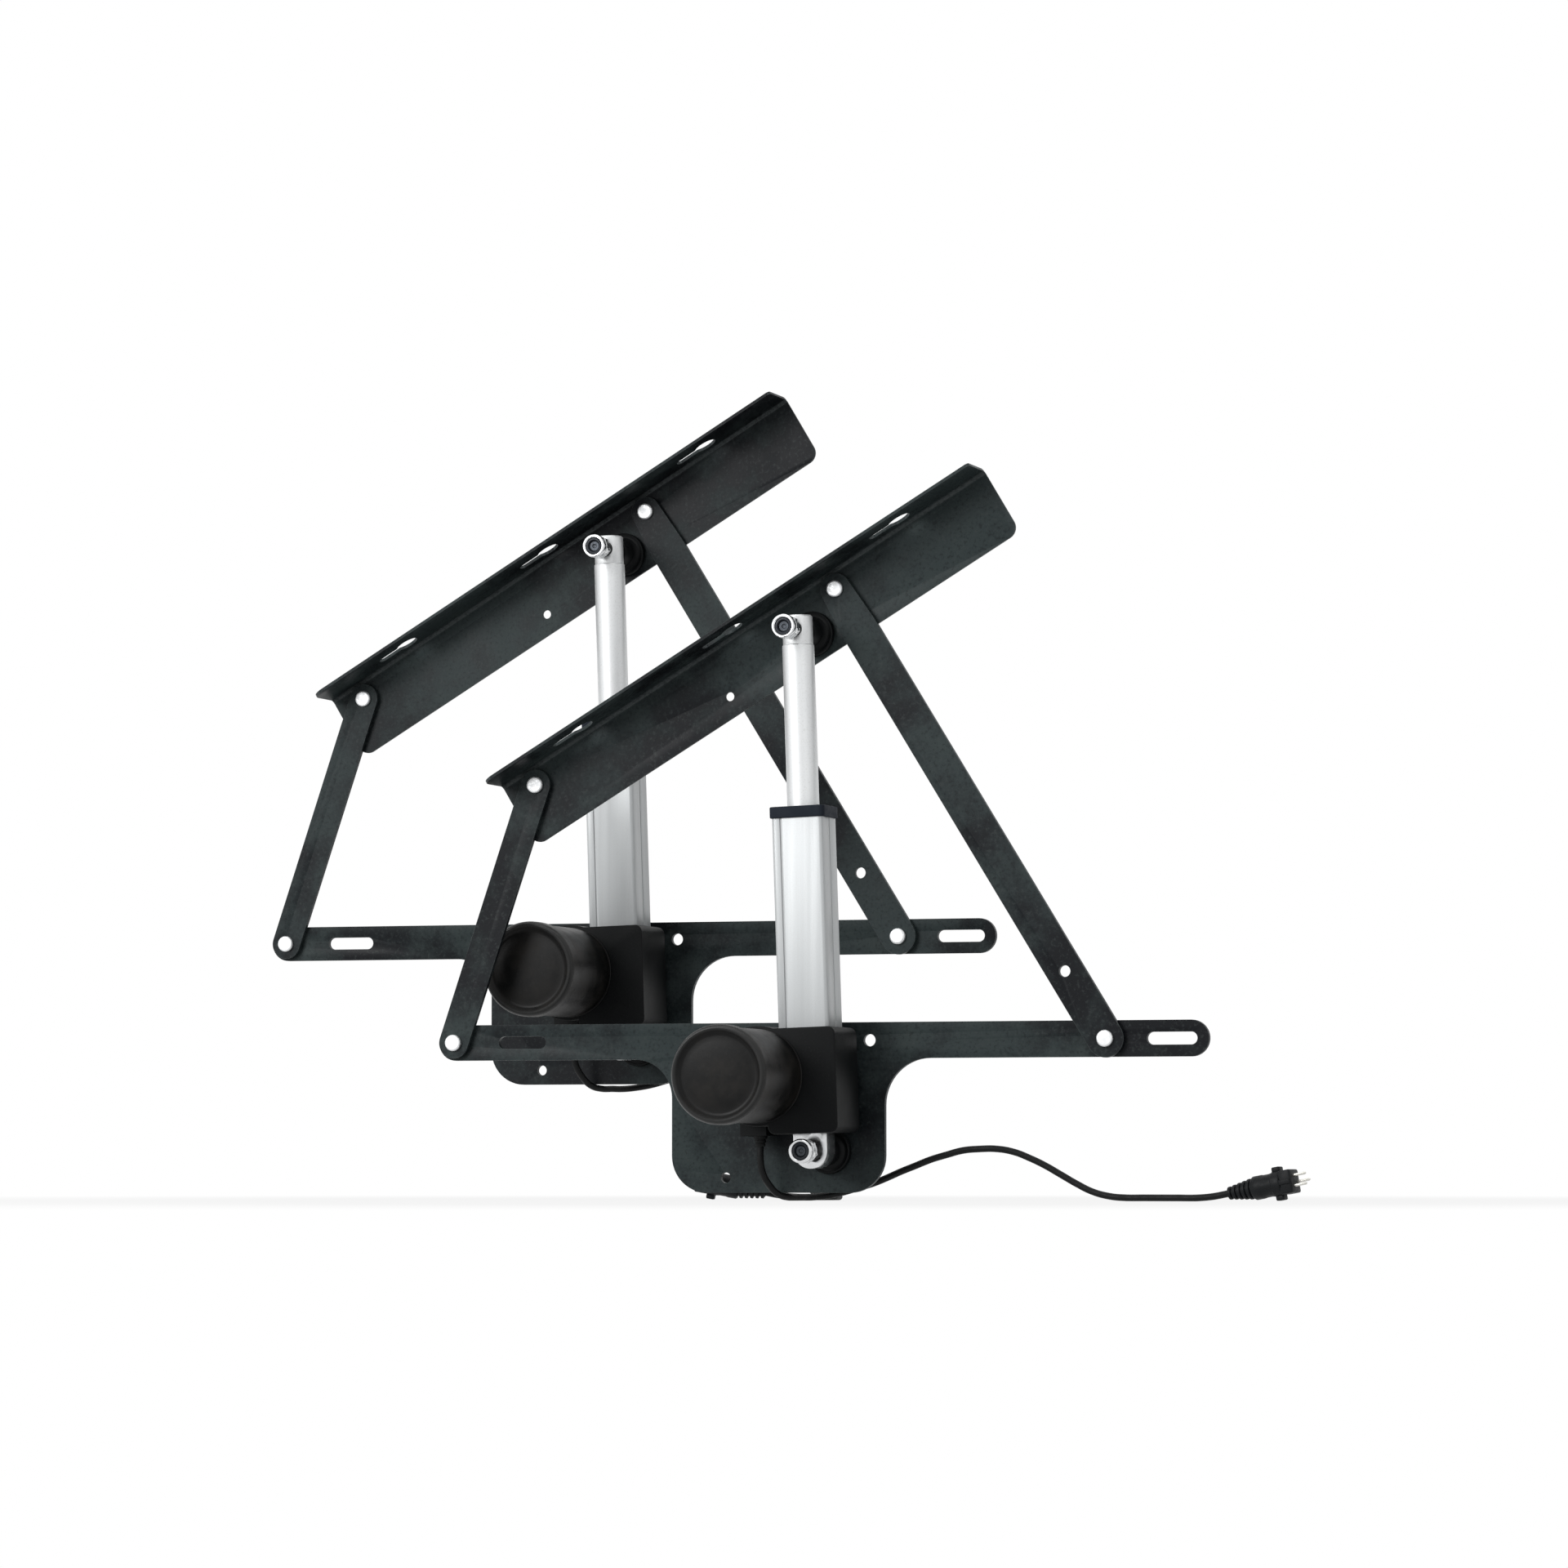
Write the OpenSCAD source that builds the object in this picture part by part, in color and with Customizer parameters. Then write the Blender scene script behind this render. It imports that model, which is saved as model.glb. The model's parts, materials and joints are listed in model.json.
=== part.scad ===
/* [Layout of the pair] */
// How far the rear unit stands to the left of the front one
rear_left = 190; // [150:1:230]
// How far the rear unit stands behind the front one
rear_back = 160; // [158:1:200]
// How far the rear unit stands above the front one
rear_up = 75; // [40:1:110]

/* [Base plate] */
// Thickness of the base plate
plate_t = 4; // [3:0.5:6]
// Height of the straight bar
bar_h = 24; // [22:1:28]
// Distance between the two ground pivots
pivot_spacing = 456; // [450:1:470]
// Distance between the centres of the two fixing slots
slot_spacing = 452; // [440:1:462]
// Distance from the left ground pivot to the left fixing slot's centre
slot_inset = 48; // [42:1:56]
// Overall length of a fixing slot
slot_l = 34; // [26:1:38]
// Width of a fixing slot
slot_w = 8.4; // [6.4:0.2:10.4]
// Left edge of the lobe, from the middle between the slots
lobe_left = 119; // [112:1:126]
// Right edge of the lobe, from the middle between the slots
lobe_right = 30; // [26:1:40]
// Depth of the lobe below the pivot line
lobe_depth = 101; // [100:1:112]
// Radius of the lobe's lower corners
lobe_r = 24.5; // [10:0.5:30]
// Radius where the lobe's left side runs into the bar
fillet_left = 26; // [10:1:30]
// Radius where the lobe's right side runs into the bar
fillet_right = 31; // [10:1:40]
// Diameter of the spare hole in the bar
bar_hole_d = 8.2; // [5:0.2:10]
// Distance of the spare hole in the bar from the middle
bar_hole_x = 19.5; // [17:0.5:24]
// Diameter of the spare hole in the lobe
lobe_hole_d = 7; // [4:0.5:9]
// Distance of the lobe's spare hole from the lobe's left edge
lobe_hole_in = 38; // [30:1:40]
// Height of the lobe's spare hole above the lobe's lower edge
lobe_hole_up = 10; // [8:0.5:14]

/* [Arms] */
// Thickness of both arms
arm_t = 4; // [3:0.5:5]
// Gap between an arm and the plate and rail behind it
arm_gap = 0.5; // [0.3:0.1:1]
// Length of the short arm between its pivots
short_arm_l = 183.5; // [180:0.5:190]
// Width of the short arm
short_arm_w = 21; // [18:0.5:21]
// Angle of the short arm when the rail is raised
short_arm_deg = 71.4; // [70:0.1:73]
// Length of the long arm between its pivots
long_arm_l = 353; // [350:0.5:356]
// Width of the long arm
long_arm_w = 25; // [22:0.5:26]
// Width of the long arm at its upper end
long_arm_tip_w = 21; // [18:0.5:21]
// Length over which the long arm narrows to its upper end
long_arm_taper = 30; // [25:1:50]
// Angle of the long arm when the rail is raised
long_arm_deg = 121.6; // [121:0.1:122.4]
// Diameter of the spare hole in the long arm
arm_hole_d = 7.6; // [4:0.2:9]
// Distance of that hole from the ground pivot
arm_hole_at = 52; // [30:1:80]

/* [Lift rail] */
// Thickness of the rail's sheet
rail_t = 2; // [1.5:0.5:4]
// Overall length of the rail
rail_l = 396; // [386:1:410]
// Length of rail to the left of its first pivot
rail_over = 22; // [18:1:30]
// Distance from the rail's pivots down to its lower edge
rail_below = 35; // [33:1:42]
// Distance from the rail's pivots up to the underside of its flange
rail_above = 12.5; // [11:0.5:16]
// Width of the flange
flange_w = 38; // [32:1:42]
// Outer radius of the bend between web and flange
bend_r = 5; // [4.5:0.5:6]
// Radius of the web's lower corners
web_corner_r = 8; // [3:0.5:12]
// Radius of the flange's left corner
flange_corner_r = 8; // [3:0.5:12]
// Radius of the flange's right corner
flange_corner_right_r = 3; // [2:0.5:10]
// Places of the keyholes along the rail, from its first pivot
key_at = [43.5, 167, 303];
// Distance of the keyholes' centre line from the back of the rail
key_in = 18; // [16:0.5:20]
// Diameter of a keyhole's wide end
key_head_d = 16; // [11:0.5:17]
// Width of a keyhole's narrow end
key_tail_w = 8; // [5:0.5:9]
// Overall length of a keyhole
key_l = 32; // [28:1:36]
// Diameter of the spare hole in the web
web_hole_d = 6; // [3:0.5:8]
// Place of the spare hole along the rail, from its first pivot
web_hole_at = 147; // [100:1:180]
// Distance of the spare hole below the pivots
web_hole_down = 21.5; // [15:0.5:26]

/* [Rivets and pivot bolts] */
// Diameter of a rivet's shank
rivet_d = 7; // [5:0.5:8]
// Diameter of a rivet's head
rivet_head_d = 11.2; // [10:0.2:13]
// Height of a rivet's head
rivet_head_h = 2.6; // [1.5:0.1:3.5]
// Radial clearance of a pin in its running hole
fit = 0.05; // [0.02:0.01:0.08]
// Clearance where a linkage is left open
open_gap = 0.3; // [0.2:0.1:0.5]
// Diameter of the actuator's two pivot bolts
bolt_d = 8; // [6:0.5:8]
// Outside diameter of the sleeve on a pivot bolt
sleeve_d = 11; // [10:0.5:12]
// Diameter of the wide foot of a pivot boss
boss_foot_d = 30; // [24:1:32]
// Height of that foot
boss_foot_h = 8; // [5:1:10]
// Diameter of a boss's neck
boss_neck_d = 18; // [14:1:20]
// Length of the sleeve in front of the lug or the rod head
sleeve_front = 8; // [4:1:12]
// Length of a lock nut
nut_l = 15; // [10:1:18]
// Diameter of a lock nut's round collar
nut_d = 16; // [12.5:0.1:16.5]
// Depth that the bolt's end lies inside its lock nut
nut_recess = 3; // [2:0.5:5]

/* [Actuator] */
// Distance of the actuator's axis in front of the plate's back
axis_y = 38; // [37:1:42]
// Lower pivot of the actuator, right of the middle between the slots
lower_pin_x = -8; // [-10:0.5:-4]
// Lower pivot of the actuator, below the pivot line
lower_pin_down = 73.5; // [72:0.5:76]
// Upper pivot of the actuator along the rail, back from its second pivot
upper_pin_in = 29.4; // [27:0.1:33]
// Upper pivot of the actuator below the rail's pivots
upper_pin_down = 17; // [15:0.5:19]
// Width of the gearbox
box_w = 48; // [46:1:52]
// Depth of the gearbox from front to back
box_depth = 48; // [46:1:48]
// Wall of the gearbox
box_wall = 3; // [2:0.5:3.5]
// Distance from the lower pivot up to the gearbox
box_from = 11.5; // [11:0.5:14]
// Distance from the lower pivot up to the gearbox's top
box_to = 81; // [80:1:83]
// Radius of the gearbox's upright corners
box_r = 5; // [2:0.5:8]
// Diameter of the motor's can
motor_d = 62; // [56:1:62]
// Wall of the motor's can
motor_wall = 2; // [1.5:0.5:3]
// Length of the motor's can in front of the gearbox
motor_l = 74; // [60:1:80]
// Distance of the motor's axis to the left of the screw
motor_off = 30; // [29:0.5:31]
// Height of the motor's axis above the lower pivot
motor_up = 50; // [46:0.5:52]
// How far the gearbox's motor flange stands out past the can
flange_out = 2; // [1:0.5:3]
// Diameter of the motor's shaft
shaft_d = 6; // [5:0.5:8]
// Gap between the rotor and the can
rotor_gap = 6; // [3:1:8]
// Diameter of the motor's end cap
cap_d = 65; // [64:0.5:68]
// Length of the end cap
cap_l = 14; // [12:1:20]
// Length of can that the end cap covers
cap_over = 5; // [3:1:7]
// Width of the square tube
tube_w = 35; // [33:0.5:38]
// Depth of the square tube
tube_depth = 32; // [31:0.5:36]
// Diameter of the square tube's bore
tube_bore = 26.4; // [25:0.2:27]
// Length of the square tube
tube_l = 138.5; // [134:0.5:142]
// Width of the grooves along the tube
groove_w = 1.6; // [1:0.2:2.4]
// Depth of the grooves along the tube
groove_depth = 0.9; // [0.5:0.1:1.2]
// Distance of the front groove from the tube's left side
groove_in = 6.5; // [5:0.5:9]
// Length of the black collar on the tube
collar_l = 7.5; // [7:0.5:12]
// How far the collar stands out past the tube
collar_out = 1.5; // [1:0.5:3]

/* [Rod and screw] */
// Diameter of the lift rod
rod_d = 21.2; // [20:0.2:22]
// Diameter of the rod's bore
rod_bore = 14.4; // [13.4:0.2:15]
// Diameter of the rod's steel head
head_d = 20; // [18:0.5:21]
// Length of the head above the pivot
head_above = 9.5; // [8.5:0.5:12]
// Length of the head below the pivot
head_below = 10; // [8.5:0.5:14]
// Diameter of the lead screw
screw_d = 12; // [10:0.5:12]
// Length of the drive nut
drive_nut_l = 14; // [10:1:15]
// Distance from the upper pivot down to the drive nut's top
rod_reach = 160; // [150:1:160]
// Height of the lead screw's end above the lower pivot
screw_top = 200; // [198:1:215]
// Depth of the lead screw's socket in the lug's stem
socket_depth = 5; // [3:0.5:7]
// Length of the nose that joins the drive nut and the head to the rod
spigot_l = 10; // [6:1:14]
// Diameter of the worm wheel
wheel_d = 40; // [36:0.5:40.5]
// Number of teeth on the worm wheel
wheel_teeth = 30; // [20:1:40]
// Thickness of the worm wheel
wheel_t = 12; // [8:1:14]
// Gap between the worm and its wheel
mesh_gap = 0.3; // [0.2:0.1:0.5]
// Number of threads along the worm
worm_threads = 5; // [3:2:7]
// Outside diameter of the screw's bearing
bearing_d = 28; // [24:0.5:32]
// Height of the screw's bearing
bearing_h = 9; // [7:0.5:10]

/* [Lug] */
// Width of the lower lug
lug_w = 23; // [20:0.5:24]
// Thickness of the lower lug
lug_t = 18; // [15:0.5:20]
// Height of the lug's stem above the lower pivot, inside the gearbox
lug_stem_to = 26; // [24:1:28]

/* [Lead and plug] */
// Diameter of the lead
lead_d = 4.5; // [4:0.1:5]
// Wall of the gland round the lead at its tip
gland_tip = 1; // [0.8:0.1:2]
// Wall of the gland round the lead at the gearbox
gland_wall = 2.5; // [2:0.5:4]
// Length of the gland's stem inside the gearbox
gland_stem = 6; // [4:1:7]
// Width of the gearbox's foot that holds the gland
gland_foot_w = 18; // [14:1:22]
// Wall of the plug's strain relief round the lead, and its first rib's height
relief_wall = 1; // [0.8:0.1:1.4]
// Length of the plug's ribbed strain relief
relief_l = 18; // [14:1:20]
// Number of ribs on the strain relief
relief_ribs = 5; // [3:1:6]
// Diameter of the plug's body
plug_d = 15.5; // [14:0.5:18]
// Length of the plug's body
plug_l = 15; // [12:1:20]
// Diameter of the plug's locking ring over its ears
ring_d = 22; // [19:0.5:24]
// Length of the locking ring
ring_l = 6; // [4:0.5:8]
// Length of the plug's front block
nose_l = 8; // [5:1:10]
// Length of a contact pin
pin_l = 9; // [6:1:12]
// Diameter of a contact pin
pin_d = 2; // [1.5:0.1:2.5]

/* [Hidden] */
$fn = 64;

// Colours as photographed
black_paint = [0.13, 0.15, 0.15];
black_plastic = [0.08, 0.08, 0.09];
rivet_zinc = [0.82, 0.84, 0.84];
bright_steel = [0.78, 0.79, 0.8];
anodised = [0.88, 0.89, 0.9];
dark_rubber = [0.06, 0.06, 0.06];
bronze = [0.72, 0.55, 0.3];
nylon = [0.9, 0.88, 0.8];

// The four pivots of the linkage in the plane of the plates, X to the right and Z up
slot_x = slot_spacing / 2;
ground_left = [-slot_x - slot_inset, 0];
ground_right = [ground_left[0] + pivot_spacing, 0];
rail_left = ground_left + short_arm_l * [cos(short_arm_deg), sin(short_arm_deg)];
rail_right = ground_right + long_arm_l * [cos(long_arm_deg), sin(long_arm_deg)];
rail_gap = norm(rail_right - rail_left);
rail_deg = atan2(rail_right[1] - rail_left[1], rail_right[0] - rail_left[0]);
upper_pin_at = rail_gap - upper_pin_in;

// The actuator's two pivots and its own axis
lower_pin = [lower_pin_x, -lower_pin_down];
upper_pin = rail_left + [
    upper_pin_at * cos(rail_deg) + upper_pin_down * sin(rail_deg),
    upper_pin_at * sin(rail_deg) - upper_pin_down * cos(rail_deg)
];
reach = norm(upper_pin - lower_pin);
actuator_deg = atan2(upper_pin[1] - lower_pin[1], upper_pin[0] - lower_pin[0]);

// Faces from back to front, as distances in front of the plate's back
rail_back = plate_t - rail_t;
arm_back = plate_t + arm_gap;
arm_front = arm_back + arm_t;
head_seat = arm_front + 2 * fit;
boss_foot_to = plate_t + boss_foot_h;
lug_back = axis_y - lug_t / 2;
lug_front = axis_y + lug_t / 2;
head_back = axis_y - head_d / 2;
head_front = axis_y + head_d / 2;
worm_d = 2 * (motor_off - wheel_d / 2 - mesh_gap);
shaft_tail = 4;
box_back = axis_y - box_depth / 2;
box_front = axis_y + box_depth / 2;
motor_front = box_front + motor_l;
cap_back = motor_front - cap_over;
shaft_back = axis_y - worm_d / 2 - shaft_tail;
motor_back = shaft_back - shaft_tail;
tube_top = box_to + tube_l;
rod_from = reach - rod_reach;
rod_to = reach - head_below;

// Routes of the leads: each point in millimetres, chosen by hand
front_drop_route = [
    [-50, -24, -70], [-50, -24, -79], [-49, -22, -88], [-46, -17, -96], [-42, -10, -102],
    [-37, -2, -104], [-32, 6, -104]
];
front_lead_route = [
    [-32, 6, -104], [-27, 14, -104], [-19, 21, -103], [-9, 24, -101], [2, 24, -98], [13, 23, -95],
    [24, 21, -91], [34, 19, -87], [45, 17, -83], [56, 15, -79], [67, 13, -76], [79, 12, -73],
    [91, 11, -72], [103, 10, -72], [115, 9, -74], [126, 8, -78], [137, 7, -83], [148, 6, -89],
    [159, 5, -95], [170, 3, -100], [182, 1, -103], [194, -1, -104], [206, -3, -104],
    [218, -5, -104], [230, -7, -104], [243, -9, -104], [255, -11, -103], [266, -13, -101]
];
rear_drop_route = [
    [-240, 136, 5], [-240, 136, -4], [-239, 138, -13], [-236, 143, -21], [-232, 150, -27],
    [-227, 158, -29], [-222, 166, -29]
];
rear_lead_route = [
    [-222, 166, -29], [-217, 174, -29], [-209, 181, -28], [-199, 185, -26], [-188, 186, -23],
    [-177, 185, -21], [-166, 183, -21], [-155, 180, -23], [-144, 176, -28], [-134, 171, -35],
    [-125, 166, -43], [-117, 161, -52], [-109, 156, -61], [-101, 150, -70], [-92, 144, -79],
    [-83, 137, -87], [-73, 129, -94], [-62, 121, -99], [-51, 112, -103], [-41, 103, -104],
    [-33, 93, -104], [-29, 81, -104], [-31, 69, -104], [-39, 60, -104], [-50, 57, -104],
    [-61, 55, -103], [-72, 53, -101]
];

// Puts the rear unit in its place
module at_rear() translate([-rear_left, rear_back, rear_up]) children();

// A flat shape drawn in X and Z, from y_near to y_far in front of the back face
module slab(y_near, y_far)
    translate([0, -y_near, 0]) rotate([90, 0, 0]) linear_extrude(y_far - y_near) children();

// A round bar or hole that runs from back to front at a point of the plane
module bar_at(p, r, y_near, y_far)
    translate([p[0], -y_near, p[1]]) rotate([90, 0, 0]) cylinder(r = r, h = y_far - y_near);

// A shape with its own X axis along a direction in the plane
module along(p, deg) translate([p[0], 0, p[1]]) rotate([0, -deg, 0]) children();

// The actuator's own frame: Z runs from its lower pivot to its upper one
module on_actuator()
    translate([lower_pin[0], -axis_y, lower_pin[1]]) rotate([0, 90 - actuator_deg, 0]) children();

// A rectangle with round corners
module round_rect(x0, x1, y0, y1, r) {
    translate([x0 + r, y0]) square([x1 - x0 - 2 * r, y1 - y0]);
    translate([x0, y0 + r]) square([x1 - x0, y1 - y0 - 2 * r]);
    for (x = [x0 + r, x1 - r], y = [y0 + r, y1 - r]) translate([x, y]) circle(r);
}

// A slot with round ends, centred, its length along X
module slot(l, w) {
    square([l - w, w], center = true);
    for (s = [-1, 1]) translate([s * (l - w) / 2, 0]) circle(d = w);
}

// The piece that a round corner takes off, at the origin towards +X and +Y
module corner_cut(r) difference() {
    translate([-1, -1]) square(r + 1);
    translate([r, r]) circle(r);
}

// A strap of even width with round ends
module strap(l, w) {
    circle(d = w);
    translate([l, 0]) circle(d = w);
    translate([0, -w / 2]) square([l, w]);
}

// Base plate: a slotted bar with a lobe that carries the actuator's foot
module base_plate() {
    color(black_paint) slab(0, plate_t) difference() {
        union() {
            bar_outline();
            round_rect(-lobe_left, lobe_right, -lobe_depth, bar_h / 2, lobe_r);
            translate([-lobe_left, -lobe_r]) square([lobe_left + lobe_right, lobe_r + bar_h / 2]);
            translate([-lobe_left, -bar_h / 2]) mirror([1, 0]) lobe_fillet(fillet_left);
            translate([lobe_right, -bar_h / 2]) lobe_fillet(fillet_right);
        }
        for (s = [-1, 1]) translate([s * slot_x, 0]) slot(slot_l, slot_w);
        for (p = [ground_left, ground_right]) translate(p) circle(d = rivet_d + 2 * fit);
        translate(lower_pin) circle(d = bolt_d + 2 * fit);
        translate([bar_hole_x, 0]) circle(d = bar_hole_d);
        translate([-lobe_left + lobe_hole_in, -lobe_depth + lobe_hole_up]) circle(d = lobe_hole_d);
    }
}

// The bar, round at both ends, its right end round the right slot's end
module bar_outline() {
    bar_to = slot_x + (slot_l - slot_w) / 2;
    translate([ground_left[0], -bar_h / 2]) square([bar_to - ground_left[0], bar_h]);
    translate(ground_left) circle(d = bar_h);
    translate([bar_to, 0]) circle(d = bar_h);
}

// The hollow fillet between the lobe's side and the bar's lower edge
module lobe_fillet(r) difference() {
    translate([-1, -r]) square([r + 1, r + 1]);
    translate([r, -r]) circle(r);
}

// A strap of even width that narrows to a round tip, its last sides tangent to the tip
module tapered_strap(l, w, tip_w, taper) {
    shoulder = [l - taper, w / 2];
    v = shoulder - [l, 0];
    t = atan2(v[1], v[0]) - acos(tip_w / 2 / norm(v));
    touch = tip_w / 2 * [cos(t), sin(t)];
    circle(d = w);
    translate([l, 0]) circle(d = tip_w);
    polygon([
        [0, -w / 2], [shoulder[0], -w / 2], [l + touch[0], -touch[1]],
        [l + touch[0], touch[1]], shoulder, [0, w / 2]
    ]);
}

module long_arm() color(black_paint) along(ground_right, long_arm_deg)
    slab(arm_back, arm_front) difference() {
        tapered_strap(long_arm_l, long_arm_w, long_arm_tip_w, long_arm_taper);
        circle(d = rivet_d + 2 * fit);
        translate([long_arm_l, 0]) circle(d = rivet_d + 2 * fit);
        translate([arm_hole_at, 0]) circle(d = arm_hole_d);
    }

module short_arm() {
    color(black_paint) along(ground_left, short_arm_deg) slab(arm_back, arm_front) difference() {
        strap(short_arm_l, short_arm_w);
        circle(d = rivet_d + 2 * fit);
        translate([short_arm_l, 0]) circle(d = rivet_d + 2 * fit);
    }
}

// A rivet in two solid shapes: a shank from one face to another and a head with a bevelled edge
module rivet(p, y_near) {
    bevel = rivet_head_h * 0.4;
    bar_at(p, rivet_d / 2, y_near, head_seat + 0.5);
    translate([p[0], -head_seat, p[1]]) rotate([90, 0, 0]) {
        cylinder(d = rivet_head_d, h = rivet_head_h - bevel);
        translate([0, 0, rivet_head_h - bevel])
            cylinder(d1 = rivet_head_d, d2 = rivet_head_d - 2 * bevel, h = bevel);
    }
}

// The right ground pivots, and the stubs that close the left ones in the bar
module base_pivot_rivets() {
    color(rivet_zinc) {
        unit_rivets();
        at_rear() unit_rivets();
    }
}

module unit_rivets() {
    rivet(ground_right, 0);
    bar_at(ground_left, rivet_d / 2, 0, plate_t);
}

// The short arm's foot rivet stops short of the bar, where the linkage is open
module short_arm_rivet() color(rivet_zinc) rivet(ground_left, plate_t + open_gap);

// The rail's two rivets, and the stub that carries its boss
module rail_pins() color(rivet_zinc) {
    rivet(rail_left, rail_back);
    rivet(rail_right, rail_back);
    bar_at(upper_pin, bolt_d / 2, rail_back, boss_foot_to);
}

// Lift rail: an angle whose flange has three keyholes for the bed frame's screws
module lift_rail() {
    color(black_paint) along(rail_left, rail_deg) translate([0, -rail_back, 0]) difference() {
        translate([-rail_over, 0, 0]) rotate([90, 0, 90]) linear_extrude(rail_l) angle_section();
        slab(-1, rail_t + 1) {
            translate([-rail_over, -rail_below]) corner_cut(web_corner_r);
            translate([rail_l - rail_over, -rail_below]) mirror([1, 0]) corner_cut(web_corner_r);
            translate([rail_gap, 0]) circle(d = rivet_d + 2 * fit);
            circle(d = rivet_d + 2 * fit);
            translate([upper_pin_at, -upper_pin_down]) circle(d = bolt_d + 2 * fit);
            translate([web_hole_at, -web_hole_down]) circle(d = web_hole_d);
        }
        translate([0, 0, rail_above - 1]) linear_extrude(rail_t + 2) {
            translate([-rail_over, -flange_w]) corner_cut(flange_corner_r);
            translate([rail_l - rail_over, -flange_w]) mirror([1, 0]) corner_cut(flange_corner_right_r);
            for (x = key_at) translate([x, -key_in]) keyhole();
        }
    }
}

// The angle's section: web downwards, flange towards the front, the bend round inside and out
module angle_section() {
    top = rail_above + rail_t;
    inner_r = bend_r - rail_t;
    difference() {
        union() {
            translate([-rail_t, -rail_below]) square([rail_t, rail_below + top - bend_r]);
            translate([-flange_w, rail_above]) square([flange_w - bend_r, rail_t]);
            translate([-bend_r, top - bend_r]) circle(bend_r);
        }
        translate([-bend_r, top - bend_r]) circle(inner_r);
        translate([-flange_w, -rail_below]) square([flange_w - rail_t, rail_below + top - bend_r]);
        translate([-2 * bend_r, top - 2 * bend_r]) square([bend_r, 2 * bend_r - rail_t]);
    }
}

// Wide end to the right, narrow end to the left
module keyhole() {
    head = (key_l - key_head_d) / 2;
    tail = -(key_l - key_tail_w) / 2;
    translate([head, 0]) circle(d = key_head_d);
    translate([tail, 0]) circle(d = key_tail_w);
    translate([tail, -key_tail_w / 2]) square([head - tail, key_tail_w]);
}

// The dished foot and neck of a pivot boss, between two distances in front of the back face
module boss(p, y_near, y_far) {
    translate([p[0], -y_near, p[1]]) rotate([90, 0, 0]) {
        cylinder(d = boss_foot_d, h = boss_foot_h / 2);
        translate([0, 0, boss_foot_h / 2])
            cylinder(d1 = boss_foot_d, d2 = boss_neck_d, h = boss_foot_h / 2);
        cylinder(d = boss_neck_d, h = y_far - y_near);
    }
}

// The rail's own boss ends at its foot, where the linkage is open
module rail_boss() color(black_plastic) difference() {
    boss(upper_pin, plate_t, boss_foot_to);
    bar_at(upper_pin, bolt_d / 2 + fit, plate_t - 1, boss_foot_to + 1);
}

// Lower pivot: boss and sleeve fixed to the lobe, on which the lug turns
module lower_pivot_bosses() {
    color(black_plastic) {
        lower_boss();
        at_rear() lower_boss();
    }
}

module lower_boss() difference() {
    union() {
        boss(lower_pin, plate_t, lug_back - open_gap);
        bar_at(lower_pin, sleeve_d / 2, plate_t, lug_front + sleeve_front);
    }
    bar_at(lower_pin, bolt_d / 2, plate_t - 1, lug_front + sleeve_front + 1);
}

module lower_pivot_bolts() {
    color(bright_steel) {
        bar_at(lower_pin, bolt_d / 2, 0, lug_front + sleeve_front + nut_l - nut_recess);
        at_rear() bar_at(lower_pin, bolt_d / 2, 0, lug_front + sleeve_front + nut_l - nut_recess);
    }
}

// A lock nut: six flats, then a round collar with a recessed end
module lock_nut(p, y_near) translate([p[0], -y_near, p[1]]) rotate([90, 0, 0]) difference() {
    flats = nut_l * 0.45;
    union() {
        cylinder(d = nut_d * 1.06, h = flats, $fn = 6);
        cylinder(d = nut_d, h = nut_l - 1);
        translate([0, 0, nut_l - 1]) cylinder(d1 = nut_d, d2 = nut_d - 2, h = 1);
    }
    translate([0, 0, -1]) cylinder(d = bolt_d, h = nut_l + 2);
    translate([0, 0, nut_l - nut_recess]) cylinder(d = nut_d - 5, h = nut_recess + 1);
}

module lower_lock_nuts() {
    color(bright_steel) {
        lock_nut(lower_pin, lug_front + sleeve_front);
        at_rear() lock_nut(lower_pin, lug_front + sleeve_front);
    }
}

// Slabs in the actuator's frame, between two distances in front of the plate's back
module box_slab(y_near, y_far) translate([0, axis_y, 0]) slab(y_near, y_far) children();

// Outline of the gearbox's main block, in the actuator's own X and Z
module box_outline() round_rect(-box_w / 2, box_w / 2, box_from, box_to, box_r);

// Outline of the round flange that carries the motor
module motor_outline(r) translate([-motor_off, motor_up]) circle(r);

// The hollow for the wheel and the worm, between the lug's stem and the screw's bearing
clamp_top = lug_stem_to + box_wall;
seat_from = box_to - 2 * box_wall - bearing_h;
flange_r = motor_d / 2 + flange_out;
module wheel_hollow(extra)
    translate([box_wall - box_w / 2 - extra, clamp_top])
        square([box_w - 2 * box_wall + extra, seat_from - clamp_top]);
module hollow_outline() {
    difference() {
        motor_outline(flange_r - box_wall);
        translate([box_wall - box_w / 2, 0]) square([2 * box_w, 2 * box_to]);
    }
    wheel_hollow(box_wall);
}

// What runs along the screw's axis and across the gearbox: lug, screw and bearing
module gearbox_seats() {
    translate([0, 0, seat_from + box_wall]) cylinder(d = bearing_d + 2 * fit, h = bearing_h);
    cylinder(d = screw_d + 2 * box_wall / 3, h = box_to + 1);
    translate([-lug_w / 2 - fit, -lug_t / 2 - fit, 0])
        cube([lug_w + 2 * fit, lug_t + 2 * fit, lug_stem_to + fit]);
}

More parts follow.
